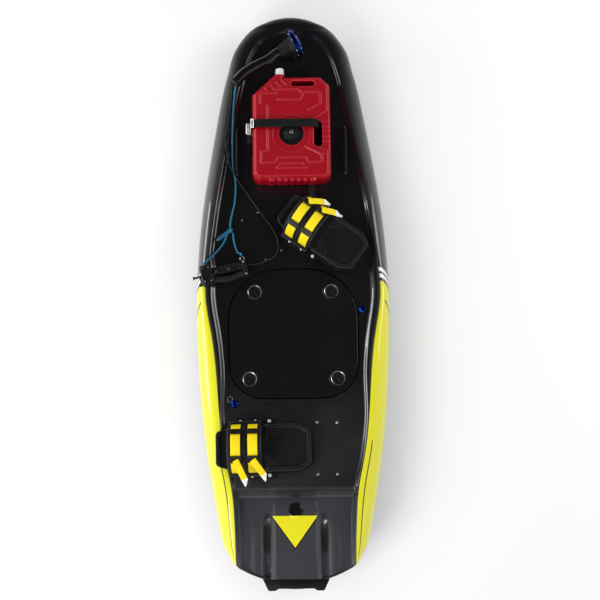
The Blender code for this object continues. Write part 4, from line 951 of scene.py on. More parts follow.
def deck_half(y):
    """The starboard half of a deck section, as (x, z), and its shares across the rail."""
    half = interpolate(OUTLINE, y)
    crest_half, outer, inner = crest_edges(y)
    crest = top_height(y)
    rail = rail_height(y) + SEAT_GAP
    closing = ease(0, NOSE_CLOSING, crest_half - EDGE_LAND)
    floor = crest + (deck_height(y) - crest) * closing
    section = []
    for i in range(FLOOR_STEPS + 1):
        x = inner * i / FLOOR_STEPS
        section.append((x, floor + floor_shape(x, y) * closing))
    for k in range(1, WALL_STEPS + 1):
        share = k / WALL_STEPS
        rise = (crest - floor) * ease(0, 1, share)
        section.append((inner + (outer - inner) * share, floor + rise))
    shares = [-1.0 + 0.5 * i / len(section) for i in range(len(section))]
    section.append(((outer + crest_half) / 2, crest))
    shares.append(-0.02)
    for k in range(RAIL_STEPS + 1):
        turn = math.pi / 2 * (1 - k / RAIL_STEPS)
        section.append((crest_half + (half - crest_half) * math.cos(turn),
                        rail + (crest - rail) * math.sin(turn)))
        shares.append(k / RAIL_STEPS)
    return section, shares


def hull_half(y):
    half = interpolate(OUTLINE, y)
    keel, rail = keel_height(y), rail_height(y)
    flat = half * FLAT_BOTTOM_SHARE
    section = [(flat * k / 4, keel) for k in range(4)]
    for k in range(RAIL_STEPS + 1):
        turn = math.pi / 2 * k / RAIL_STEPS
        section.append((flat + (half - flat) * math.sin(turn),
                        keel + (rail - keel) * (1 - math.cos(turn))))
    return section, [2.0] * len(section)


def skin(name, half_of, look):
    """A moulding with its cloth's UV, its band across the rail and its plan."""
    rings, cloth, bands, plan = [], [], [], []
    for y in STATIONS:
        section, shares = half_of(y)
        run = reaches(section)
        port = range(len(section) - 1, 0, -1)
        rings.append([(x, y, z) for x, z in section]
                     + [(-section[i][0], y, section[i][1]) for i in port])
        plan.append([point[:2] for point in rings[-1]])
        cloth.append([(along, y) for along in run] + [(-run[i], y) for i in port])
        bands.append([(share, y) for share in shares] + [(shares[i], y) for i in port])
    maps = {"cloth": cloth, "band": bands, "plan": plan}
    return loft(name, rings, (look, "satin_black"), maps, True)


def intake_line():
    start = PUMP_FRONT_Y - CUT_OVERRUN
    fall = math.tan(INTAKE_SLOPE)
    whole = (PUMP_Z + 2 * INTAKE_RADIUS) / fall + INTAKE_BEND / 2
    points = [(0, start, PUMP_Z)]
    for k in range(1, CURVE_STEPS + 1):
        run = whole * k / CURVE_STEPS
        bent = min(run, INTAKE_BEND)
        drop = fall * (bent * bent / (2 * INTAKE_BEND) + run - bent)
        points.append((0, start + run, PUMP_Z - drop))
    return points


def make_skins():
    def cutter(outline, low, high):
        return pillar(outline, low, high, "satin_black")

    def drum(radius, front, rear):
        profile = [(0, front), (radius, front), (radius, rear), (0, rear)]
        return moved(turned("drum", profile, "satin_black"), at(0, 0, PUMP_Z) @ BACKWARD)

    recess = cutter(hatch_outline(0), LEDGE_Z, DECK_Z + CUT_OVERRUN)
    shared = [
        cutter(hatch_outline(LEDGE_WIDTH), BAY_FLOOR_Z, DECK_Z),
        drum(PUMP_BORE + PUMP_WALL + SEAT_GAP, PUMP_FRONT_Y + SEAT_GAP, TRANSOM_Y - CUT_OVERRUN),
        tube("ramp", intake_line(), INTAKE_RADIUS, "satin_black", 32),
        drum(SHAFT_BORE, SHAFT_FRONT_Y + CUT_OVERRUN, PUMP_FRONT_Y - CUT_OVERRUN),
    ]
    width, length = GRATE_WIDTH + 2 * SEAT_GAP, GRATE_LENGTH + 2 * SEAT_GAP
    slot = shifted(bar_ring(width, length, width / 2, 16), 0, GRATE_Y)
    below = [cutter(slot, -CUT_OVERRUN, GRATE_THICKNESS + 2 * SEAT_GAP)]
    width, length = FIN_BASE_WIDTH / 2 + SEAT_GAP, FIN_BASE_LENGTH / 2 + SEAT_GAP
    for x in (-FIN_X, FIN_X):
        outline = box(x - width, FIN_Y - length, x + width, FIN_Y + length)
        below.append(cutter(outline, -CUT_OVERRUN, FIN_BASE_DEPTH))
    deck = carved(skin("deck_skin", deck_half, "deck"), [recess, *shared])
    hull = carved(skin("hull_skin", hull_half, "hull"), [*shared, *below])
    for piece, node in ((deck, "deck_moulding"), (hull, "hull_moulding")):
        sharp(piece, 28)
        piece.data.transform(STANCE)
        put(piece, node, STANCE.inverted())
    clear([recess, *shared, *below])


# Light, floor and camera

WORLD_LEVEL = 0.62
# How bright the room's reflection is, by degrees from its darkest direction
ROOM_STOPS = ((20, 0.006), (32, 0.02), (42, 0.10), (60, 0.42), (78, 0.80))
DARK_LEAN = math.radians(16)
LAMPS = (
    ("key", (-1.9, -2.3, 2.2), (0, -0.2, 0.1), (1.6, 1.6), 62),
    ("fill", (2.4, 0.9, 1.7), (0, 0.1, 0.1), (1.3, 1.3), 26),
    ("side", (-2.7, 0.6, 0.75), (0, 0.3, 0.15), (1.8, 0.7), 34),
)
CAMERA_LEAN = math.radians(14)
CAMERA_ROLL = math.radians(-0.7)
CAMERA_TARGET = Vector((0, 0, 0.12))
CAMERA_DISTANCE = 3.0
FOCAL_SHARE = 932.77 / 600


def make_world():
    world = bpy.data.worlds.new("studio")
    bpy.context.scene.world = world
    world.use_nodes = True
    world.node_tree.nodes.clear()
    tree = Tree(world.node_tree)
    path = tree.node("LightPath").outputs
    dark = TURN.to_3x3() @ Vector((0, math.sin(DARK_LEAN), math.cos(DARK_LEAN)))
    toward = tree.node("VectorMath", tree.node("TexCoord").outputs["Generated"], dark,
                       operation="DOT_PRODUCT")
    ramp = tree.node("ValToRGB", toward.outputs["Value"])
    band = ramp.color_ramp.elements
    places = sorted((math.cos(math.radians(angle)), level) for angle, level in ROOM_STOPS)
    band[0].position, band[1].position = places[0][0], places[-1][0]
    for place, _ in places[1:-1]:
        band.new(place)
    for element, (_, level) in zip(band, places):
        element.color = (level, level, level * 1.02, 1)
    plain = tree.node("Background", (1, 1, 1, 1), WORLD_LEVEL).outputs[0]
    shiny = tree.node("Background", ramp.outputs[0]).outputs[0]
    pale = tree.node("Background", (0.86, 0.86, 0.87, 1)).outputs[0]
    first = tree.node("MixShader", path["Is Glossy Ray"], plain, shiny).outputs[0]
    tree.node("OutputWorld", tree.node("MixShader", path["Is Camera Ray"], first, pale).outputs[0])


def make_studio():
    make_world()
    for name, place, target, size, power in LAMPS:
        lamp = bpy.data.lights.new(name, "AREA")
        lamp.shape = "RECTANGLE"
        lamp.size, lamp.size_y = size
        lamp.energy = power
        obj = new_object(name, lamp)
        obj.location = place
        obj.rotation_euler = (Vector(target) - Vector(place)).to_track_quat("-Z", "Y").to_euler()
    shader = Shader("floor", (0.80, 0.80, 0.81), 0.9)
    cloud = shader.noise(shader.place(), 0.8)
    shader.set("Base Color", shader.mix(cloud, (0.84, 0.84, 0.845), (0.87, 0.87, 0.872)))
    shader.set("Emission Color", (1.0, 1.0, 1.0, 1.0))
    seen = shader.node("LightPath").outputs["Is Camera Ray"]
    shader.set("Emission Strength", shader.product(seen, 0.10))
    bm = bmesh.new()
    bmesh.ops.create_grid(bm, x_segments=1, y_segments=1, size=12)
    floor = new_object("floor", mesh_of("floor", bm))
    floor.data.materials.append(shader.material)


def make_camera():
    away = Vector((0, -math.sin(CAMERA_LEAN), math.cos(CAMERA_LEAN)))
    up = Vector((0, math.cos(CAMERA_LEAN), math.sin(CAMERA_LEAN)))
    data = bpy.data.cameras.new("camera")
    data.lens = FOCAL_SHARE * data.sensor_width
    data.shift_x, data.shift_y = 0.012, -0.0252
    camera = new_object("camera", data)
    axes = Matrix((up.cross(away), up, away)).transposed().to_4x4()
    place = Matrix.Translation(CAMERA_TARGET + away * CAMERA_DISTANCE)
    camera.matrix_world = STANCE @ place @ axes @ turned_by(CAMERA_ROLL, "Z")
    bpy.context.scene.camera = camera
    bpy.context.scene.view_settings.view_transform = "Standard"


# Cords

CREST_BERTH = 0.010
CORD_LIFT = 0.0006
ROPE_RADIUS = 0.0030
CABLE_RADIUS = 0.0022
HUB_PLACE = (0.018, 0.790)
HUB_LEAN = Vector((-0.885, -0.420, -0.150)).normalized()
HUB_RADIUS = 0.047
HUB_THICKNESS = 0.014
HUB_FLOOR_GAP = 0.010
BOOT_LENGTH = 0.052
SLEEVE_RADIUS = 0.0175
CUFF_RADIUS = 0.0195
CUFF_LENGTH = 0.014
ARM_POINTS = mm((-71, 743, 221), (-115, 721, 218), (-152, 699, 212), (-176, 676, 205))
ROPE_ROUTE = mm(
    (-187, 622), (-190, 575), (-192.5, 510), (-193.5, 444), (-191, 389), (-183, 341), (-186, 275),
    (-193, 240),
)
KNOT_PLACE = (-0.200, 0.176)
KNOT_RADIUS = 0.0085
KNOT_LEAD = 0.0176
CORD_LEAD = 0.009
BRIDLE_PORT_ROUTE = ((-0.222, 0.135), (-0.248, 0.098))
BRIDLE_STARBOARD_ROUTE = ((-0.188, 0.140), (-0.177, 0.105))
CROSSING = (-0.187, 0.366)
CABLE_ROUTE = (
    *mm((-195, 640), (-201, 590), (-208, 533), (-216, 492), (-214, 455), (-204, 405)), CROSSING,
    *mm((-166, 333), (-145, 303), (-118, 260), (-88, 218), (-62, 180), (-47, 142), (-46, 110),
        (-60, 88), (-85, 74), (-112, 64)),
)
HANDLE_PLACE = (-HALF_BEAM * 0.869, 0.020)
HANDLE_TURN = math.radians(14)
HANDLE_DIP = math.radians(6)
HANDLE_LIFT = 0.003
BLOCK_WIDTH = 0.036
BLOCK_LENGTH = 0.064
BLOCK_HEIGHT = 0.034
GRIP_LENGTH = 0.098
END_WIDTH = 0.012
END_LENGTH = 0.052
END_OFFSET = -0.004
EYELET_RADIUS = 0.008
CABLE_OFFSET = 0.004
CABLE_LEAD = 0.010


def on_deck(x, y, radius):
    inner = crest_edges(y)[2]
    floor, top = deck_height(y), crest_height(y)
    share = ease(inner - CREST_BERTH, inner, abs(x))
    return Vector((x, y, floor + (top - floor) * share + radius + CORD_LIFT))


def handle_matrix():
    x, y = HANDLE_PLACE
    height = crest_height(y) + BLOCK_HEIGHT / 2 + HANDLE_LIFT
    turn = Matrix.Rotation(HANDLE_TURN, 4, "Z") @ Matrix.Rotation(HANDLE_DIP, 4, "Y")
    return Matrix.Translation((x, y, height)) @ turn


def cord_points(ends_before, route, ends_after, radius, steps=8):
    middle = [on_deck(x, y, radius) for x, y in route]
    if CROSSING in route:
        middle[route.index(CROSSING)].z += 2 * ROPE_RADIUS + CORD_LIFT
    run = spline_points([ends_before[-1], *middle, ends_after[0]], steps)
    for point in run:
        point.z = max(point.z, on_deck(point.x, point.y, radius).z)
    return [*ends_before[:-1], *run, *ends_after[1:]]


def make_cord(name, points, look="rope_blue", radius=ROPE_RADIUS, others=()):
    obj = put(tube(name + "_line", points, radius, look, 14), name)
    path = [STANCE @ Vector(point) for point in points]
    length = sum((b - a).length for a, b in zip(path, path[1:]))
    tuple(path[0])
    [tuple(point) for point in path]


def arm_geometry(steps):
    """The hub's centre, the boot's start, the line of the sleeve and the direction of its end."""
    x, y = HUB_PLACE
    rise = HUB_FLOOR_GAP + HUB_RADIUS * math.hypot(HUB_LEAN.x, HUB_LEAN.y)
    centre = Vector((x, y, deck_height(y) + rise))
    start = centre + HUB_LEAN * (HUB_THICKNESS / 2 + SEAT_GAP)
    neck = start + HUB_LEAN * (BOOT_LENGTH + SEAT_GAP)
    route = [neck, *spline_points([neck + HUB_LEAN * CUFF_LENGTH, *ARM_POINTS], steps)]
    return centre, start, route, (route[-1] - route[-2]).normalized()


def make_cords():
    _, _, route, direction = arm_geometry(CURVE_STEPS // 3)
    way_out = route[-1] + direction * (CUFF_LENGTH + 2 * SEAT_GAP)
    aside = direction.cross(Vector((0, 0, 1))).normalized() * CUFF_RADIUS / 2
    knot = on_deck(*KNOT_PLACE, KNOT_RADIUS)
    above = knot + Vector((0, KNOT_RADIUS + SEAT_GAP, 0))
    handle = handle_matrix()
    end_x = BLOCK_WIDTH / 2 + 2 * SEAT_GAP + GRIP_LENGTH + END_WIDTH / 2
    eyelet_y = END_OFFSET + END_LENGTH / 2 + 2 * EYELET_RADIUS + SEAT_GAP

    def held(x, y):
        return handle @ Vector((x, y, 0))

    def beside(sign):
        place = way_out + aside * sign
        return [place, place + direction * ROPE_RADIUS]

    ends = [above + Vector((0, KNOT_LEAD, 0)), above]
    rope = cord_points(beside(-1), ROPE_ROUTE, ends, ROPE_RADIUS)
    make_cord("lead_rope", rope, others=[make_knot(knot)])
    legs = (("port", -1, BRIDLE_PORT_ROUTE, 0, BLOCK_LENGTH / 2),
            ("starboard", 1, BRIDLE_STARBOARD_ROUTE, end_x, eyelet_y))
    for name, side, route, x, y in legs:
        start = knot + Vector((side * KNOT_RADIUS, -KNOT_RADIUS, 0))
        ends = [held(x, y + CORD_LEAD), held(x, y + SEAT_GAP)]
        make_cord("bridle_" + name, cord_points([start], route, ends, ROPE_RADIUS))
    ends = [held(end_x + reach, CABLE_OFFSET)
            for reach in (END_WIDTH + CABLE_LEAD, END_WIDTH / 2 + SEAT_GAP)]
    cable = cord_points(beside(1), CABLE_ROUTE, ends, CABLE_RADIUS)
    make_cord("throttle_cable", cable, "cable", CABLE_RADIUS)


def make_knot(knot):
    """The overhand knot with the short doubled end that sticks out of it."""
    turns = []
    for k in range(73):
        t = math.tau * k / 72
        shape = (math.sin(t) + 2 * math.sin(2 * t), math.cos(t) - 2 * math.cos(2 * t),
                 -math.sin(3 * t))
        turns.append(knot + Vector(shape) * 0.0021)
    side = Vector((0.0022, -0.0022, 0))
    out = [Vector(point) for point in mm((-4, -2, 1), (-20, -17, 4), (-35, -30, 8))]
    loop = [*(knot + point - side for point in out), knot + Vector((-0.040, -0.035, 0.009)),
            *(knot + point + side for point in reversed(out))]
    pieces = [tube("coil", turns, 0.0027, "rope_blue", 14),
              tube("loop", spline_points(loop, 6), 0.0024, "rope_blue", 14)]
    return put(joined("tow_knot", pieces), "rope_knot")


# Fuel can

CAN_PLACE = (0.0015, 0.485)
CAN_REACH = 0.06
CAN_BASE = 0.0053
CAN_FACE = 0.0785
CAN_RELIEF = 0.0817
CAN_CORNERS = mm(
    (-127.5, -155, 30), (127.5, -155, 30), (127.5, 166, 12), (97.5, 196, 12), (-21, 196, 3),
    (-21, 208, 3), (-52, 208, 4), (-127.5, 136, 12),
)
CAN_LEVELS = mm((5.3, 6), (9.5, 1), (30, 0), (56, 0), (69, 4.5), (78.5, 12.5))
CAN_RELIEFS = mm(
    ((-101, 104), (-101, 131), (-93, 136), (-51, 136)),
    ((-41, 149), (22, 149), (36, 138)),
    ((-41, 114), (29, 114), (43, 138), (91, 138), (95, 134), (95, 100), (58, 78)),
    ((-77, 92), (-77, -57), (-98, -62), (-98, -95)),
    ((-96, -97), (-54, -97), (-44, -81), (46, -81), (54, -97), (93, -97), (96.5, -93), (96.5, -72),
     (46, -46)),
    ((-46, -116), (-36, -101), (36, -101), (45, -116), (-46, -116)),
    ((-83, 152), (-72, 138)), ((-65, 162), (-53, 147)),
    ((-47, 172), (-35, 157)), ((-29, 180), (-18, 166)),
)
GRIP_CORNERS = mm((72, 45), (118, 75), (160, 75), (160, -63), (128, -63), (72, -41))
CAP_PLACE = (-0.0365, 0.2083, 0.0433)


def can_matrix():
    x, y = CAN_PLACE
    slope = math.atan2(deck_height(y + CAN_REACH) - deck_height(y - CAN_REACH), 2 * CAN_REACH)
    return Matrix.Translation((x, y, deck_height(y) + SEAT_GAP)) @ Matrix.Rotation(slope, 4, "X")


def make_can():
    where = can_matrix()
    rings = [[(x, y, height) for x, y in rounded(drawn_in(CAN_CORNERS, by), 8)]
             for height, by in CAN_LEVELS]
    body = loft("can_body", rings, ["can_red"])
    back, over = CAN_BASE - CUT_OVERRUN, CAN_FACE + CUT_OVERRUN
    top_slot = [(0.039 + y, 0.168 + x) for x, y in bar_ring(0.018, 0.078, 0.009, 8)]
    cutters = [pillar(outline, low, over) for outline, low in (
        (shifted(bar_ring(0.026, 0.088, 0.013, 8), 0.087, 0), back), (top_slot, back),
        (circle(0, 0, 0.020), back), (circle(0, 0, 0.040, 64), 0.0693),
        (circle(0, 0, 0.060, 80), CAN_FACE - 0.004), (GRIP_CORNERS, 0.0700))]
    for k in range(5):
        y = -0.034 + 0.017 * k
        cutters.append(tube("groove", [(0.098, y, 0.0745), (0.140, y, 0.0745)], 0.0068, None, 20))
    for k in range(6):
        cutters.append(pillar(circle(-0.1375, 0.060 - 0.024 * k, 0.0135, 32), 0.018, over))
    parts = [carved(body, cutters)]
    clear(cutters)
    for line in CAN_RELIEFS:
        parts.extend(ribs(line, 0.0052, CAN_FACE - 0.006, CAN_RELIEF, "can_red"))
    bars = [(-0.060 + 0.0208 * k, 0.005, -0.157, 0.012, 0.070) for k in range(7)]
    bars += [(x, 0.0025, -0.1575, 0.008, 0.074) for x in (-0.070, 0.075)]
    for x, half, y, low, high in bars:
        parts.append(pillar(box(x - half, y, x + half, -0.150), low, high, "can_red"))
    put(remeshed(joined("can_body", parts), 0.0019), "fuel_can", where)

    ridges = plate("cap", [star(0.014, 0.0012, 18, 4)], 0.020, "white_plastic", (0, 0, 0.011))
    lip = mm((0, 22), (12.5, 22), (13.5, 20), (13.5, 1.5), (0, 1.5))
    collar = mm((0, 2.8), (15, 2.8), (15, 0), (0, 0))
    pieces = [bevel(ridges, 0.0005, 1), turned("lip", lip, "white_plastic"),
              turned("collar", collar, "white_plastic")]
    put(joined("can_cap_ribbed", pieces), "can_cap", where @ facing(CAP_PLACE, (0, 1, 0)))

    knob = plate("knob", [star(0.027, 0.0045, 8)], 0.016, "satin_black", (0, 0, 0.0776))
    dish = mm((0, 87.3), (15, 87.3), (16.5, 85.6), (16.5, 80), (0, 80))
    knob = joined("can_knob_lobed", [bevel(knob, 0.0028, 4), turned("dish", dish, "satin_black")])
    put(sharp(knob, 40), "can_knob", where)
    # A black disc on the floor of the knob's well: partly the knob's black base, partly painted shade
    # that darkens the well
    well_disc = mm((0, 71.6), (36.8, 71.6), (38.4, 70.4), (38.4, 69), (0, 69))
    put(turned("knob_base_shade_disc", well_disc, "satin_black", 72), None, where)
    nut = mm((0, 90.8), (6.2, 90.8), (6.2, 87.4), (0, 87.4))
    washer = mm((8.5, 88.4), (8.5, 87.4), (4, 87.4), (4, 88.4))
    pieces = [bevel(turned("nut", nut, "bright_metal", 6), 0.0007, 2),
              turned("washer", washer, "bright_metal", 40, True)]
    put(joined("knob_nut", pieces), None, where)

    sides = mm((-128.8, 12), (-128.8, 80), (-112, 90.8), (70, 90.8), (86.8, 76), (86.8, 12))
    line = [(x, 0.030, z) for x, z in sides]
    ring = bar_ring(0.027, 0.0020, 0.0009)
    strap = swept("can_webbing", bent(line, 0.009), (0, -1, 0), ring, "black_webbing")
    put(strap, "can_strap", where)
    hole = bar_ring(0.026, 0.0042, 0.0008)
    outlines = [bar_ring(0.036, 0.018, 0.003), shifted(hole, 0, 0.0042), shifted(hole, 0, -0.0042)]
    buckle = bevel(plate("ladder_buckle", outlines, 0.0045, "white_plastic"), 0.0012, 3)
    across = turned_by(math.pi / 2, "Z")
    put(buckle, "strap_buckle",
        where @ at(-0.1400, 0.026, 0.0433) @ across @ turned_by(math.radians(38), "X"))
    outlines = [bar_ring(0.030, 0.011, 0.002), bar_ring(0.024, 0.005, 0.001)]
    loop = bevel(plate("buckle_frame", outlines, 0.003, "bright_metal"), 0.0008, 2)
    put(loop, None, where @ at(-0.1268, 0.030, 0.0885) @ across @ turned_by(0.5, "X"))

    # The webbing that runs from under the can toward the front binding
    points = [(0.066, y, deck_height(y) + 0.0016) for y in (0.342, 0.320, 0.300, 0.282, 0.262)]
    put(swept("deck_webbing", points, (1, 0, 0), bar_ring(0.020, 0.0018, 0.0008), "grey_webbing"))


# Nose mount and its flexible arm

BOOT_RINGS = 60
BOLTS = 6


def make_nose():
    centre, start, line, _ = arm_geometry(10)
    *_, end = arm_geometry(CURVE_STEPS // 3)
    half = HUB_THICKNESS / 2
    hub_place = facing(centre, HUB_LEAN)
    front = mm((0, 0), (30, 0), (31.5, -1.5), (40, -1.5), (41.5, 0), (45, 0), (47, -2))
    back = mm((47, 3), (44.5, 0), (41, 0), (39.5, -1), (33, -3), (25.8, -8), (12, -8), (10, -6),
              (0, -6))
    profile = [*shifted(front, 0, half), *shifted(back, 0, -half)]
    put(turned("hub_disc", profile, "hub_blue", 96), "nose_hub", hub_place)
    spots = []
    for k in range(BOLTS):
        turn = turned_by(math.tau * (k + 0.5) / BOLTS, "Z")
        for face, flip in ((half - 0.0014, 0), (-half + 0.0002, math.pi)):
            spots.append(turn @ at(0.0372, 0, face) @ turned_by(flip, "X"))
    put_screws("hub_bolts", spots, 0.0028, 0.0030, where=hub_place)
    profile = [(0, BOOT_LENGTH), (0.0178, BOOT_LENGTH)]
    for k in range(BOOT_RINGS):
        share = 1 - k / (BOOT_RINGS - 1)
        ring = ease(0.30, 0.40, share) * 0.0013 * math.sin(share * math.tau * 8)
        profile.append((0.0358 - 0.0168 * math.sqrt(share) + ring, BOOT_LENGTH * share))
    profile += [(0.0358, 0.0), (0, 0)]
    put(turned("ribbed_boot", profile, "black_rubber", 64), "arm_boot", facing(start, HUB_LEAN))
    put(tube("glossy_sleeve", line, SLEEVE_RADIUS, "gloss_sleeve", 40), "arm_sleeve")
    profile = mm((18.4, 0.8), (18.4, -0.8), (16.5, -1.2), (16.5, 1.2))
    rims = [moved(turned("rim", profile, "gloss_sleeve", 40, True),
                  facing(line[i], (line[i + 1] - line[i - 1]).normalized())) for i in (7, 22, 34)]
    put(joined("sleeve_rims", rims))
    profile = mm(
        (0, 13), (10.5, 13), (15, 14), (17.2, 12.5), (19.5, 9.5), (19.5, 4), (18.5, 3.2),
        (18.5, 2.4), (19.5, 1.6), (19.5, 0), (0, 0),
    )
    cuff = turned("arm_end_cuff", profile, "satin_black")
    put(cuff, "arm_cuff", facing(line[-1] + end * SEAT_GAP, end))


# Tow handle

def make_handle():
    where = handle_matrix()
    dark, steel = "satin_black", "bright_metal"
    side = BLOCK_WIDTH / 2
    outline = bar_ring(BLOCK_WIDTH, BLOCK_LENGTH, 0.006, 6)
    case = plate("block", [outline], BLOCK_HEIGHT - 0.003, dark, (0, 0, -0.0015))
    lid = plate("lid", [bar_ring(BLOCK_WIDTH - 0.006, BLOCK_LENGTH - 0.010, 0.004, 5)], 0.004, dark,
                (0, 0, 0.015))
    places = [at(0.001, -0.014 + 0.007 * k, 0.0165) for k in range(4)]
    fins = [rounded_box("fin", (0.020, 0.0025, 0.003), 0.0008, dark, place) for place in places]
    case = joined("throttle_case", [bevel(case, 0.003, 3), bevel(lid, 0.0012, 2), *fins])
    put(case, "throttle_housing", where)
    spots = [at(x, y, 0.0168) for x in (-0.010, 0.010) for y in (-0.022, 0.022)]
    put_screws("case_screws", spots, 0.0026, 0.0018, where=where)

    start = side + SEAT_GAP
    end = start + GRIP_LENGTH
    middle, end_x = (start + end) / 2, end + SEAT_GAP + END_WIDTH / 2
    line = [(start + 0.011, -0.020, 0), (middle, -0.026, 0), (end - 0.011, -0.020, 0)]
    route = [(start, -0.020, 0), *spline_points(line, 24), (end, -0.020, 0)]
    put(tube("wavy_grip", route, 0.011, "black_rubber", 28,
             lambda run: 0.0103 + 0.0007 * math.cos(run * math.tau / 0.0165)), "handle_grip", where)
    panel = rounded_box("panel", (GRIP_LENGTH - 0.0006, 0.026, 0.015), 0.004, dark,
                        at(middle, 0.0075), 4)
    ridge = rounded_box("ridge", (GRIP_LENGTH - 0.020, 0.006, 0.0178), 0.0025, dark,
                        at(middle, 0.013))
    put(joined("handle_body", [panel, ridge]), "handle_bar", where)
    heads = mm((12, 5, 4, 2.6), (53, 5, 4, 2.6), (4, -2, 2.6, 1.8))
    bolts = [moved(screw(radius, height, steel), at(start + x, y, 0.0073))
             for x, y, radius, height in heads]
    ball = mm((0, 3.6), (2, 3.2), (3.4, 1.4), (3.4, 0), (0, 0))
    bolts += [moved(turned("ball", ball, steel, 24), at(end_x, y, 0.0128)) for y in (0.016, -0.024)]
    crescent = mm((7.2, 1.2), (7.2, 0), (4.8, 0), (4.8, 1.2))
    bolts.append(moved(turned("crescent", crescent, steel, 40, True),
                       at(end - 0.007, 0.0050, 0.0074)))
    put(joined("handle_bolts", bolts), None, where)
    end_place = at(end_x, END_OFFSET)
    end_plate = rounded_box("handle_end_plate", (END_WIDTH, END_LENGTH, 0.026), 0.003, dark,
                            end_place)
    put(applied(end_plate), "handle_end", where @ end_place)

    profile = mm((0, 26), (4.2, 26), (5.5, 24.8), (5.5, 22.2), (4.2, 21), (3.2, 20), (3, 6),
                 (4, 4.2), (4, 0), (0, 0))
    stem = turned("stem", profile, dark, 32)
    bar = rounded_box("bar", (0.0045, 0.036, 0.009), 0.0016, dark, at(-side - 0.0035, -0.013))
    button = turned("button", mm((0, 9), (3.6, 8.5), (4.4, 7), (4.4, 4), (3, 0), (0, 0)), dark, 24)
    moved(stem, facing((-start, 0, 0), (-1, 0, 0)))
    moved(button, facing((-side - 0.004, -0.027, 0), (-1, 0, 0)))
    put(joined("throttle_trigger", [stem, bar, button]), "throttle_lever", where)
    eye = turned("eyelet_ring", circle(0.00625, 0, 0.0019, 12), steel, 48, True)
    eyelet_y = END_OFFSET + END_LENGTH / 2 + EYELET_RADIUS + SEAT_GAP
    put(eye, "handle_eyelet", where @ at(end_x, eyelet_y))


# Foot bindings

BINDINGS = {
    "binding_front": ((0.097, 0.162), math.radians(144), 1,
                      (("toe", (-0.78, -0.63), 0.050), ("instep", (-0.86, -0.50), 0.044))),
    "binding_rear": ((-0.0945, -0.520), math.radians(181), -1,
                     (("toe", (-0.42, 0.91), 0.060), ("instep", (-0.58, 0.82), 0.052))),
}
BAND_PLACES = {"instep": 0.031, "toe": 0.082}
BASE_TOP = 0.0133
ARCH_HALF = 0.064
ARCH_HEIGHT = 0.078
ARCH_THICKNESS = 0.006
ARCH_REAR = 0.004
ARCH_FRONT = 0.108
NEAR_CLIP = math.radians(52.5)
FAR_CLIP = math.radians(119)


def band_point(turn, side, proud=0.0):
    """A point of the band over the arch, in the foot's v and z, with its outward direction."""
    across, base = ARCH_HALF + ARCH_THICKNESS + SEAT_GAP, ARCH_THICKNESS + SEAT_GAP
    rise = ARCH_HEIGHT
    out = Vector((math.cos(turn) / across, math.sin(turn) / rise)).normalized()
    v, z = across * math.cos(turn) + out.x * proud, base + rise * math.sin(turn) + out.y * proud
    return Vector((0, side * v, BASE_TOP + z)), Vector((0, side * out.x, out.y))


def clip_matrix(u, turn, side, proud):
    """A clip's place on a band: X along the foot and Z outward."""
    point, out = band_point(turn, side, proud)
    along = Vector((1, 0, 0))
    tangent = out.cross(along)
    axes = Matrix((along, tangent, out)).transposed().to_4x4()
    return Matrix.Translation(point + Vector((u, 0, 0))) @ axes


BASE_CORNERS = mm(
    (-151, -52.5, 12), (-105.7, -75, 12), (-34, -75, 12), (-34, -90, 6), (56, -90, 6),
    (56, -63.75, 4), (93, -52.5, 6), (93, 52.5, 6), (88, 63.75, 3), (88, 90, 6), (-34, 90, 6),
    (-34, 75, 12), (-105.7, 75, 12), (-151, 52.5, 12),
)
PAD_CORNERS = mirrored(mm(
    (-145, -49.7, 14), (-108.8, -71, 14), (-2, -71, 10), (4, -62.5, 2), (108, -62.5, 2),
    (145, -50.4, 14),
))
HOLLOW_CORNERS = mirrored(mm(
    (-133, -43.7, 12), (-102.8, -59, 12), (-8, -59, 4), (-8, -90, 0), (104, -90, 0),
    (133, -44.4, 12),
))
SCREW_PLACES = ((0.070, 1), (0.024, 1), (-0.019, 1), (0.036, -1), (-0.017, -1))
EDGE_ROLLS = mm((8, 4.2), (56.5, 3), (104, 4.2))
PAD_THICKNESS = 0.021
ARCH_STEPS = 40


def ladder(name, length, bars):
    """A clip with cross bars that the band is threaded through."""
    pitch = length / (bars + 1)
    hole = bar_ring(0.027, pitch * 0.42, 0.0008)
    holes = [shifted(hole, 0, (k - (bars - 1) / 2) * pitch) for k in range(bars)]
    clip = plate(name, [bar_ring(0.035, length, 0.0022), *holes], 0.0042, "satin_black")
    return bevel(clip, 0.0010, 2)


def make_tray(name, flip):
    pad = flip(rounded(PAD_CORNERS, 6))
    cushion = plate(name, [pad], PAD_THICKNESS, "foam_pad", (0, 0, BASE_TOP + PAD_THICKNESS / 2))
    hollow = pillar(flip(rounded(HOLLOW_CORNERS, 5)), BASE_TOP + 0.0135,
                    BASE_TOP + PAD_THICKNESS + CUT_OVERRUN)
    parts = [carved(cushion, [hollow])]
    clear([hollow])
    for k in range(5):
        u = -0.012 - 0.0085 * k
        for v in (-1, 1):
            line = [(u, v * 0.060), (u + 0.004, v * (0.026 + 0.005 * k))]
            parts.extend(ribs(line, 0.0035, BASE_TOP + 0.012, BASE_TOP + 0.0160, "foam_pad"))
    return remeshed(joined(name, parts), 0.0024)


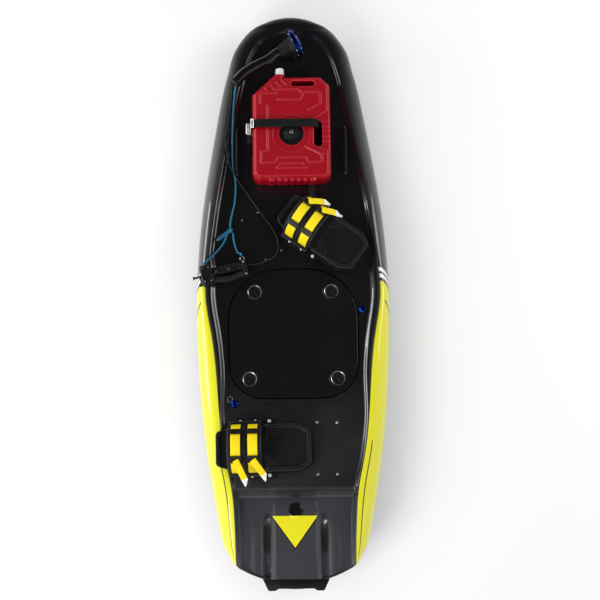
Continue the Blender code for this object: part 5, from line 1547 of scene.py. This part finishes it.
def make_upper(name, side):
    turns = [math.pi * k / ARCH_STEPS for k in range(ARCH_STEPS + 1)]
    wall = ARCH_THICKNESS - 0.001
    section = [((ARCH_HALF + wall) * math.cos(t), (ARCH_HEIGHT + wall) * math.sin(t))
               for t in turns]
    section += [(ARCH_HALF * math.cos(t), ARCH_HEIGHT * math.sin(t)) for t in reversed(turns)]
    arch = plate("arch", [section], ARCH_FRONT - ARCH_REAR - 0.004, "foam_pad")
    moved(arch, at((ARCH_FRONT + ARCH_REAR) / 2, 0, BASE_TOP) @ turned_by(math.pi / 2, "Z")
          @ turned_by(math.pi / 2, "X"))
    parts = [arch]
    for u, radius in EDGE_ROLLS:
        line = [band_point(math.pi * k / 44, side, -0.003)[0] + Vector((u, 0, 0))
                for k in range(3, 42)]
        parts.append(tube("edge", line, radius, "foam_pad", 12))
    for v in (-1, 1):
        place = at(0.056, v * 0.0745, BASE_TOP + 0.0032)
        parts.append(rounded_box("foot", (0.100, 0.020, 0.006), 0.002, "foam_pad", place))
    return puff(remeshed(joined(name, parts), 0.0030), 0.0030)


def make_tail(name, band, heading, length, side, where):
    """A band's loose end past its clip, with its slanted tip."""
    start = band_point(FAR_CLIP, side, 0.0092)[0] + Vector((BAND_PLACES[band], 0, 0))
    line = []
    for share in (k / 8 for k in range(9)):
        rise = 0.006 * share - 0.022 * share * share
        line.append(start + heading * (length * share) + Vector((0, 0, rise)))
    level = heading.cross(Vector((0, 0, 1))).normalized()
    ring = bar_ring(0.019, 0.0020, 0.0008)
    put(swept(f"{name}_tail_{band}", line, level, ring, "strap_yellow"), None, where)
    outline = mm((-9.5, 0), (9.5, 0), (8, 24), (3, 22), (-9.5, 4))
    tip = bevel(plate(f"{name}_tip_{band}", [outline], 0.0022, "white_plastic"), 0.0005, 1)
    along = (line[-1] - line[-2]).normalized()
    axes = Matrix((level, along, level.cross(along))).transposed().to_4x4()
    put(tip, None, where @ Matrix.Translation(line[-1]) @ axes)


def make_binding(name):
    place, turn, side, tails = BINDINGS[name]
    where = at(*place, deck_height(place[1]) + SEAT_GAP) @ turned_by(turn, "Z")

    def flip(outline):
        return [(x, side * y) for x, y in outline]

    shell = plate(name + "_shell", [flip(rounded(BASE_CORNERS, 6))], 0.0128, "satin_black",
                  (0, 0, 0.0066))
    put(sharp(applied(bevel(shell, 0.0022, 3, 50)), 12), name + "_base", where)
    spots = [at(u, side * v * 0.0815, 0.0128) for u, v in SCREW_PLACES]
    put_screws(name + "_screws", spots, 0.0052, 0.0030, "white_plastic", where)
    put_screws(name + "_screw_cores", spots, 0.0026, 0.0024, "bright_metal", where, 6)
    tray = put(make_tray(name + "_tray", flip), name + "_pad", where)
    upper = put(make_upper(name + "_cushion", side), name + "_upper", where)

    for band, u in BAND_PLACES.items():
        line = [band_point(math.pi * k / 48, side, 0.0014)[0] + Vector((u, 0, 0))
                for k in range(49)]
        ring = bar_ring(0.029, 0.0022, 0.0009)
        put(swept(f"{name}_band_{band}", line, (1, 0, 0), ring, "strap_yellow"),
            f"{name}_strap_{band}", where)
        tongue = rounded_box("tongue", (0.030, 0.0045, 0.0030), 0.001, "satin_black",
                             clip_matrix(u, NEAR_CLIP + 0.05, side, 0.0085))
        near = moved(ladder("near", 0.018, 2), clip_matrix(u, NEAR_CLIP, side, 0.0056))
        put(joined(f"{name}_clip_{band}", [near, tongue]), f"{name}_buckle_{band}", where)
        far = moved(ladder("far", 0.022, 3), clip_matrix(u, FAR_CLIP, side, 0.0058))
        put(joined(f"{name}_lock_{band}", [far]), None, where)
    for band, heading, length in tails:
        make_tail(name, band, Vector((*heading, 0)).normalized(), length, side, where)


# Hatch, shroud, plugs, rails and inserts

LATCHES = mm((-122, -27.5), (122, -27.5), (-137.5, -306), (137.5, -306))
LATCH_RADIUS = 0.0275
INSERTS = mm(
    (-110, 239), (-162, 213), (-36, 110), (-86, 80), (70, -443), (131, -444), (69, -599),
    (129, -599),
)
DECK_PLUGS = {"deck_plug_right": (0.2205, -0.088), "deck_plug_left": (-0.184, -0.384)}
TAIL_PLUG_Y = -0.706
EYE_PLACE = (-0.200, -0.368)
RAIL_X = 0.178
RAIL_ENDS = (0.518, 0.382)


def make_hatch():
    holes = [circle(x, y, LATCH_RADIUS + 2 * SEAT_GAP, 64) for x, y in LATCHES]
    lid = plate("hatch_cover", [hatch_outline(RUNNING_GAP), *holes], LID_THICKNESS, "carbon",
                (0, 0, DECK_Z - LID_THICKNESS / 2))
    put(sharp(applied(bevel(lid, 0.0010, 2)), 12), "hatch_lid", None, "hatch")
    profile = mm(
        (0, -5), (8.5, -5), (10.5, -4.4), (16, -4.4), (19.5, -3), (22.5, -0.6), (24, 0), (26.2, 0),
        (27.5, -1.2), (27.5, -8), (19, -8), (19, -20), (0, -20),
    )
    edge = mm((21.4, 0.4), (21.4, -1.2), (20.6, -1.6), (20.6, 0))
    for i, (x, y) in enumerate(LATCHES):
        key = rounded_box("key", (0.0060, 0.0260, 0.0034), 0.0012, "satin_black", at(0, 0, -0.0030))
        latch = joined(f"latch_dish_{i + 1}", [turned("dish", profile, "satin_black", 72), key])
        put(latch, f"latch_{i + 1}", at(x, y, DECK_Z) @ turned_by(0.6 + i * 1.1, "Z"), "hatch")
        ring = turned(f"latch_ring_{i + 1}", edge, "bright_metal", 72, True)
        put(ring, None, at(x, y, DECK_Z - 0.0006), "hatch")
    outlines = [hatch_outline(-COAMING_REACH), hatch_outline(-COAMING_REACH + 0.0018)]
    put(plate("coaming_ring", outlines, 0.0010, "satin_black", (0, 0, DECK_Z + 0.0003)),
        slot="carbon")


SHROUD_LENGTH = 0.034
SHROUD_BOTTOM_Z = 0.010
SHROUD_TOP_Z = 0.096
SHROUD_BORE = 0.0303
SHROUD_HOLLOW = 0.006


def make_shroud():
    """The block round the nozzle, with its hollow rear edge."""
    front = TRANSOM_Y - SEAT_GAP
    rear = front - SHROUD_LENGTH
    hollow = rear + SHROUD_HOLLOW
    outline = rounded([(-0.084, rear, 0.006), (-0.063, rear, 0.003), (-0.053, hollow, 0.005),
                       (0.053, hollow, 0.005), (0.063, rear, 0.003), (0.084, rear, 0.006),
                       (0.101, front, 0), (-0.101, front, 0)])
    shroud = pillar(outline, SHROUD_BOTTOM_Z, SHROUD_TOP_Z, "satin_black", "nozzle_shroud_shell")
    profile = [(0, 0.05), (SHROUD_BORE, 0.05), (SHROUD_BORE, -0.05), (0, -0.05)]
    mouth = turned("mouth", profile, None, 64)
    moved(mouth, at(0, front - SHROUD_LENGTH / 2, PUMP_Z) @ BACKWARD)
    put(sharp(carved(bevel(shroud, 0.0020, 2), [mouth]), 25), "nozzle_shroud")
    clear([mouth])
    inner = SHROUD_BORE + 0.0008
    rim = [(0.0365, 0.0012), (0.0365, 0), (inner, 0), (inner, 0.0008)]
    put(turned("mouth_rim", rim, "black_rubber", 64, True), None,
        facing((0, hollow, PUMP_Z), (0, -1, 0)), slot="satin_black")


def make_deck_pieces():
    profile = mm((0, 2.6), (6, 2.6), (6.8, 4), (18.8, 4), (20.5, 3), (24, 0.8), (24, 0), (0, 0))
    rise = HUMP_RISE + deck_height(TAIL_PLUG_Y) + SEAT_GAP
    put(turned("tail_plug_cap", profile, "marked_plug", 64), "tail_plug", at(0, TAIL_PLUG_Y, rise))
    profile = mm(
        (0, 4.8), (3.6, 4.8), (4.2, 7), (6.6, 7), (8.5, 5.8), (11.5, 2.8), (12, 1.8), (12, 0),
        (0, 0),
    )
    for node, (x, y) in DECK_PLUGS.items():
        cap = turned(node + "_cap", profile, "blue_anodised")
        put(cap, node, at(x, y, deck_height(y) + SEAT_GAP))
    profile = mm((8.8, 1.6), (9.6, 0.8), (8.8, 0), (6.6, 0), (5.8, 0.8), (6.6, 1.6))
    eye = turned("ring", profile, "bright_metal", 48, True)
    pieces = [moved(eye, at(*EYE_PLACE, deck_height(EYE_PLACE[1]) + 0.0004))]
    for x, y in INSERTS:
        look, radius = ("pump_metal", 0.0031) if y > 0 else ("bright_metal", 0.0040)
        pieces.append(moved(screw(radius, 0.0014, look), at(x, y, deck_height(y) + 0.0002)))
    put(joined("deck_inserts", pieces))
    front, rear = RAIL_ENDS
    low, low_rear = (deck_height(y) + 2 * SEAT_GAP for y in RAIL_ENDS)
    profile = mm((0, 4), (6, 4), (9, 1.2), (9, 0), (0, 0))
    for x, node in ((-RAIL_X, "grab_rail_port"), (RAIL_X, "grab_rail_starboard")):
        line = [(x, front, low), (x, front - 0.001, low + 0.015), (x, front - 0.018, low + 0.0165),
                (x, rear + 0.018, low_rear + 0.0165), (x, rear + 0.001, low_rear + 0.015),
                (x, rear, low_rear)]
        pieces = [tube("rail", bent(line, 0.010, 8), 0.0050, "black_rubber", 20)]
        for y, z in ((front, low), (rear, low_rear)):
            pieces.append(moved(turned("foot", profile, "black_rubber", 32), at(x, y, z)))
        put(joined(node + "_bar", pieces), node)
        spots = [at(x, front + 0.011, low + 0.0009), at(x, rear - 0.011, low_rear + 0.0009)]
        put_screws(node + "_screws", spots, 0.0028, 0.0016)


dress_nodes()
make_camera()
make_cords()
make_skins()
make_can()
make_nose()
make_handle()
for binding in BINDINGS:
    make_binding(binding)
make_hatch()
make_shroud()
make_deck_pieces()
make_studio()
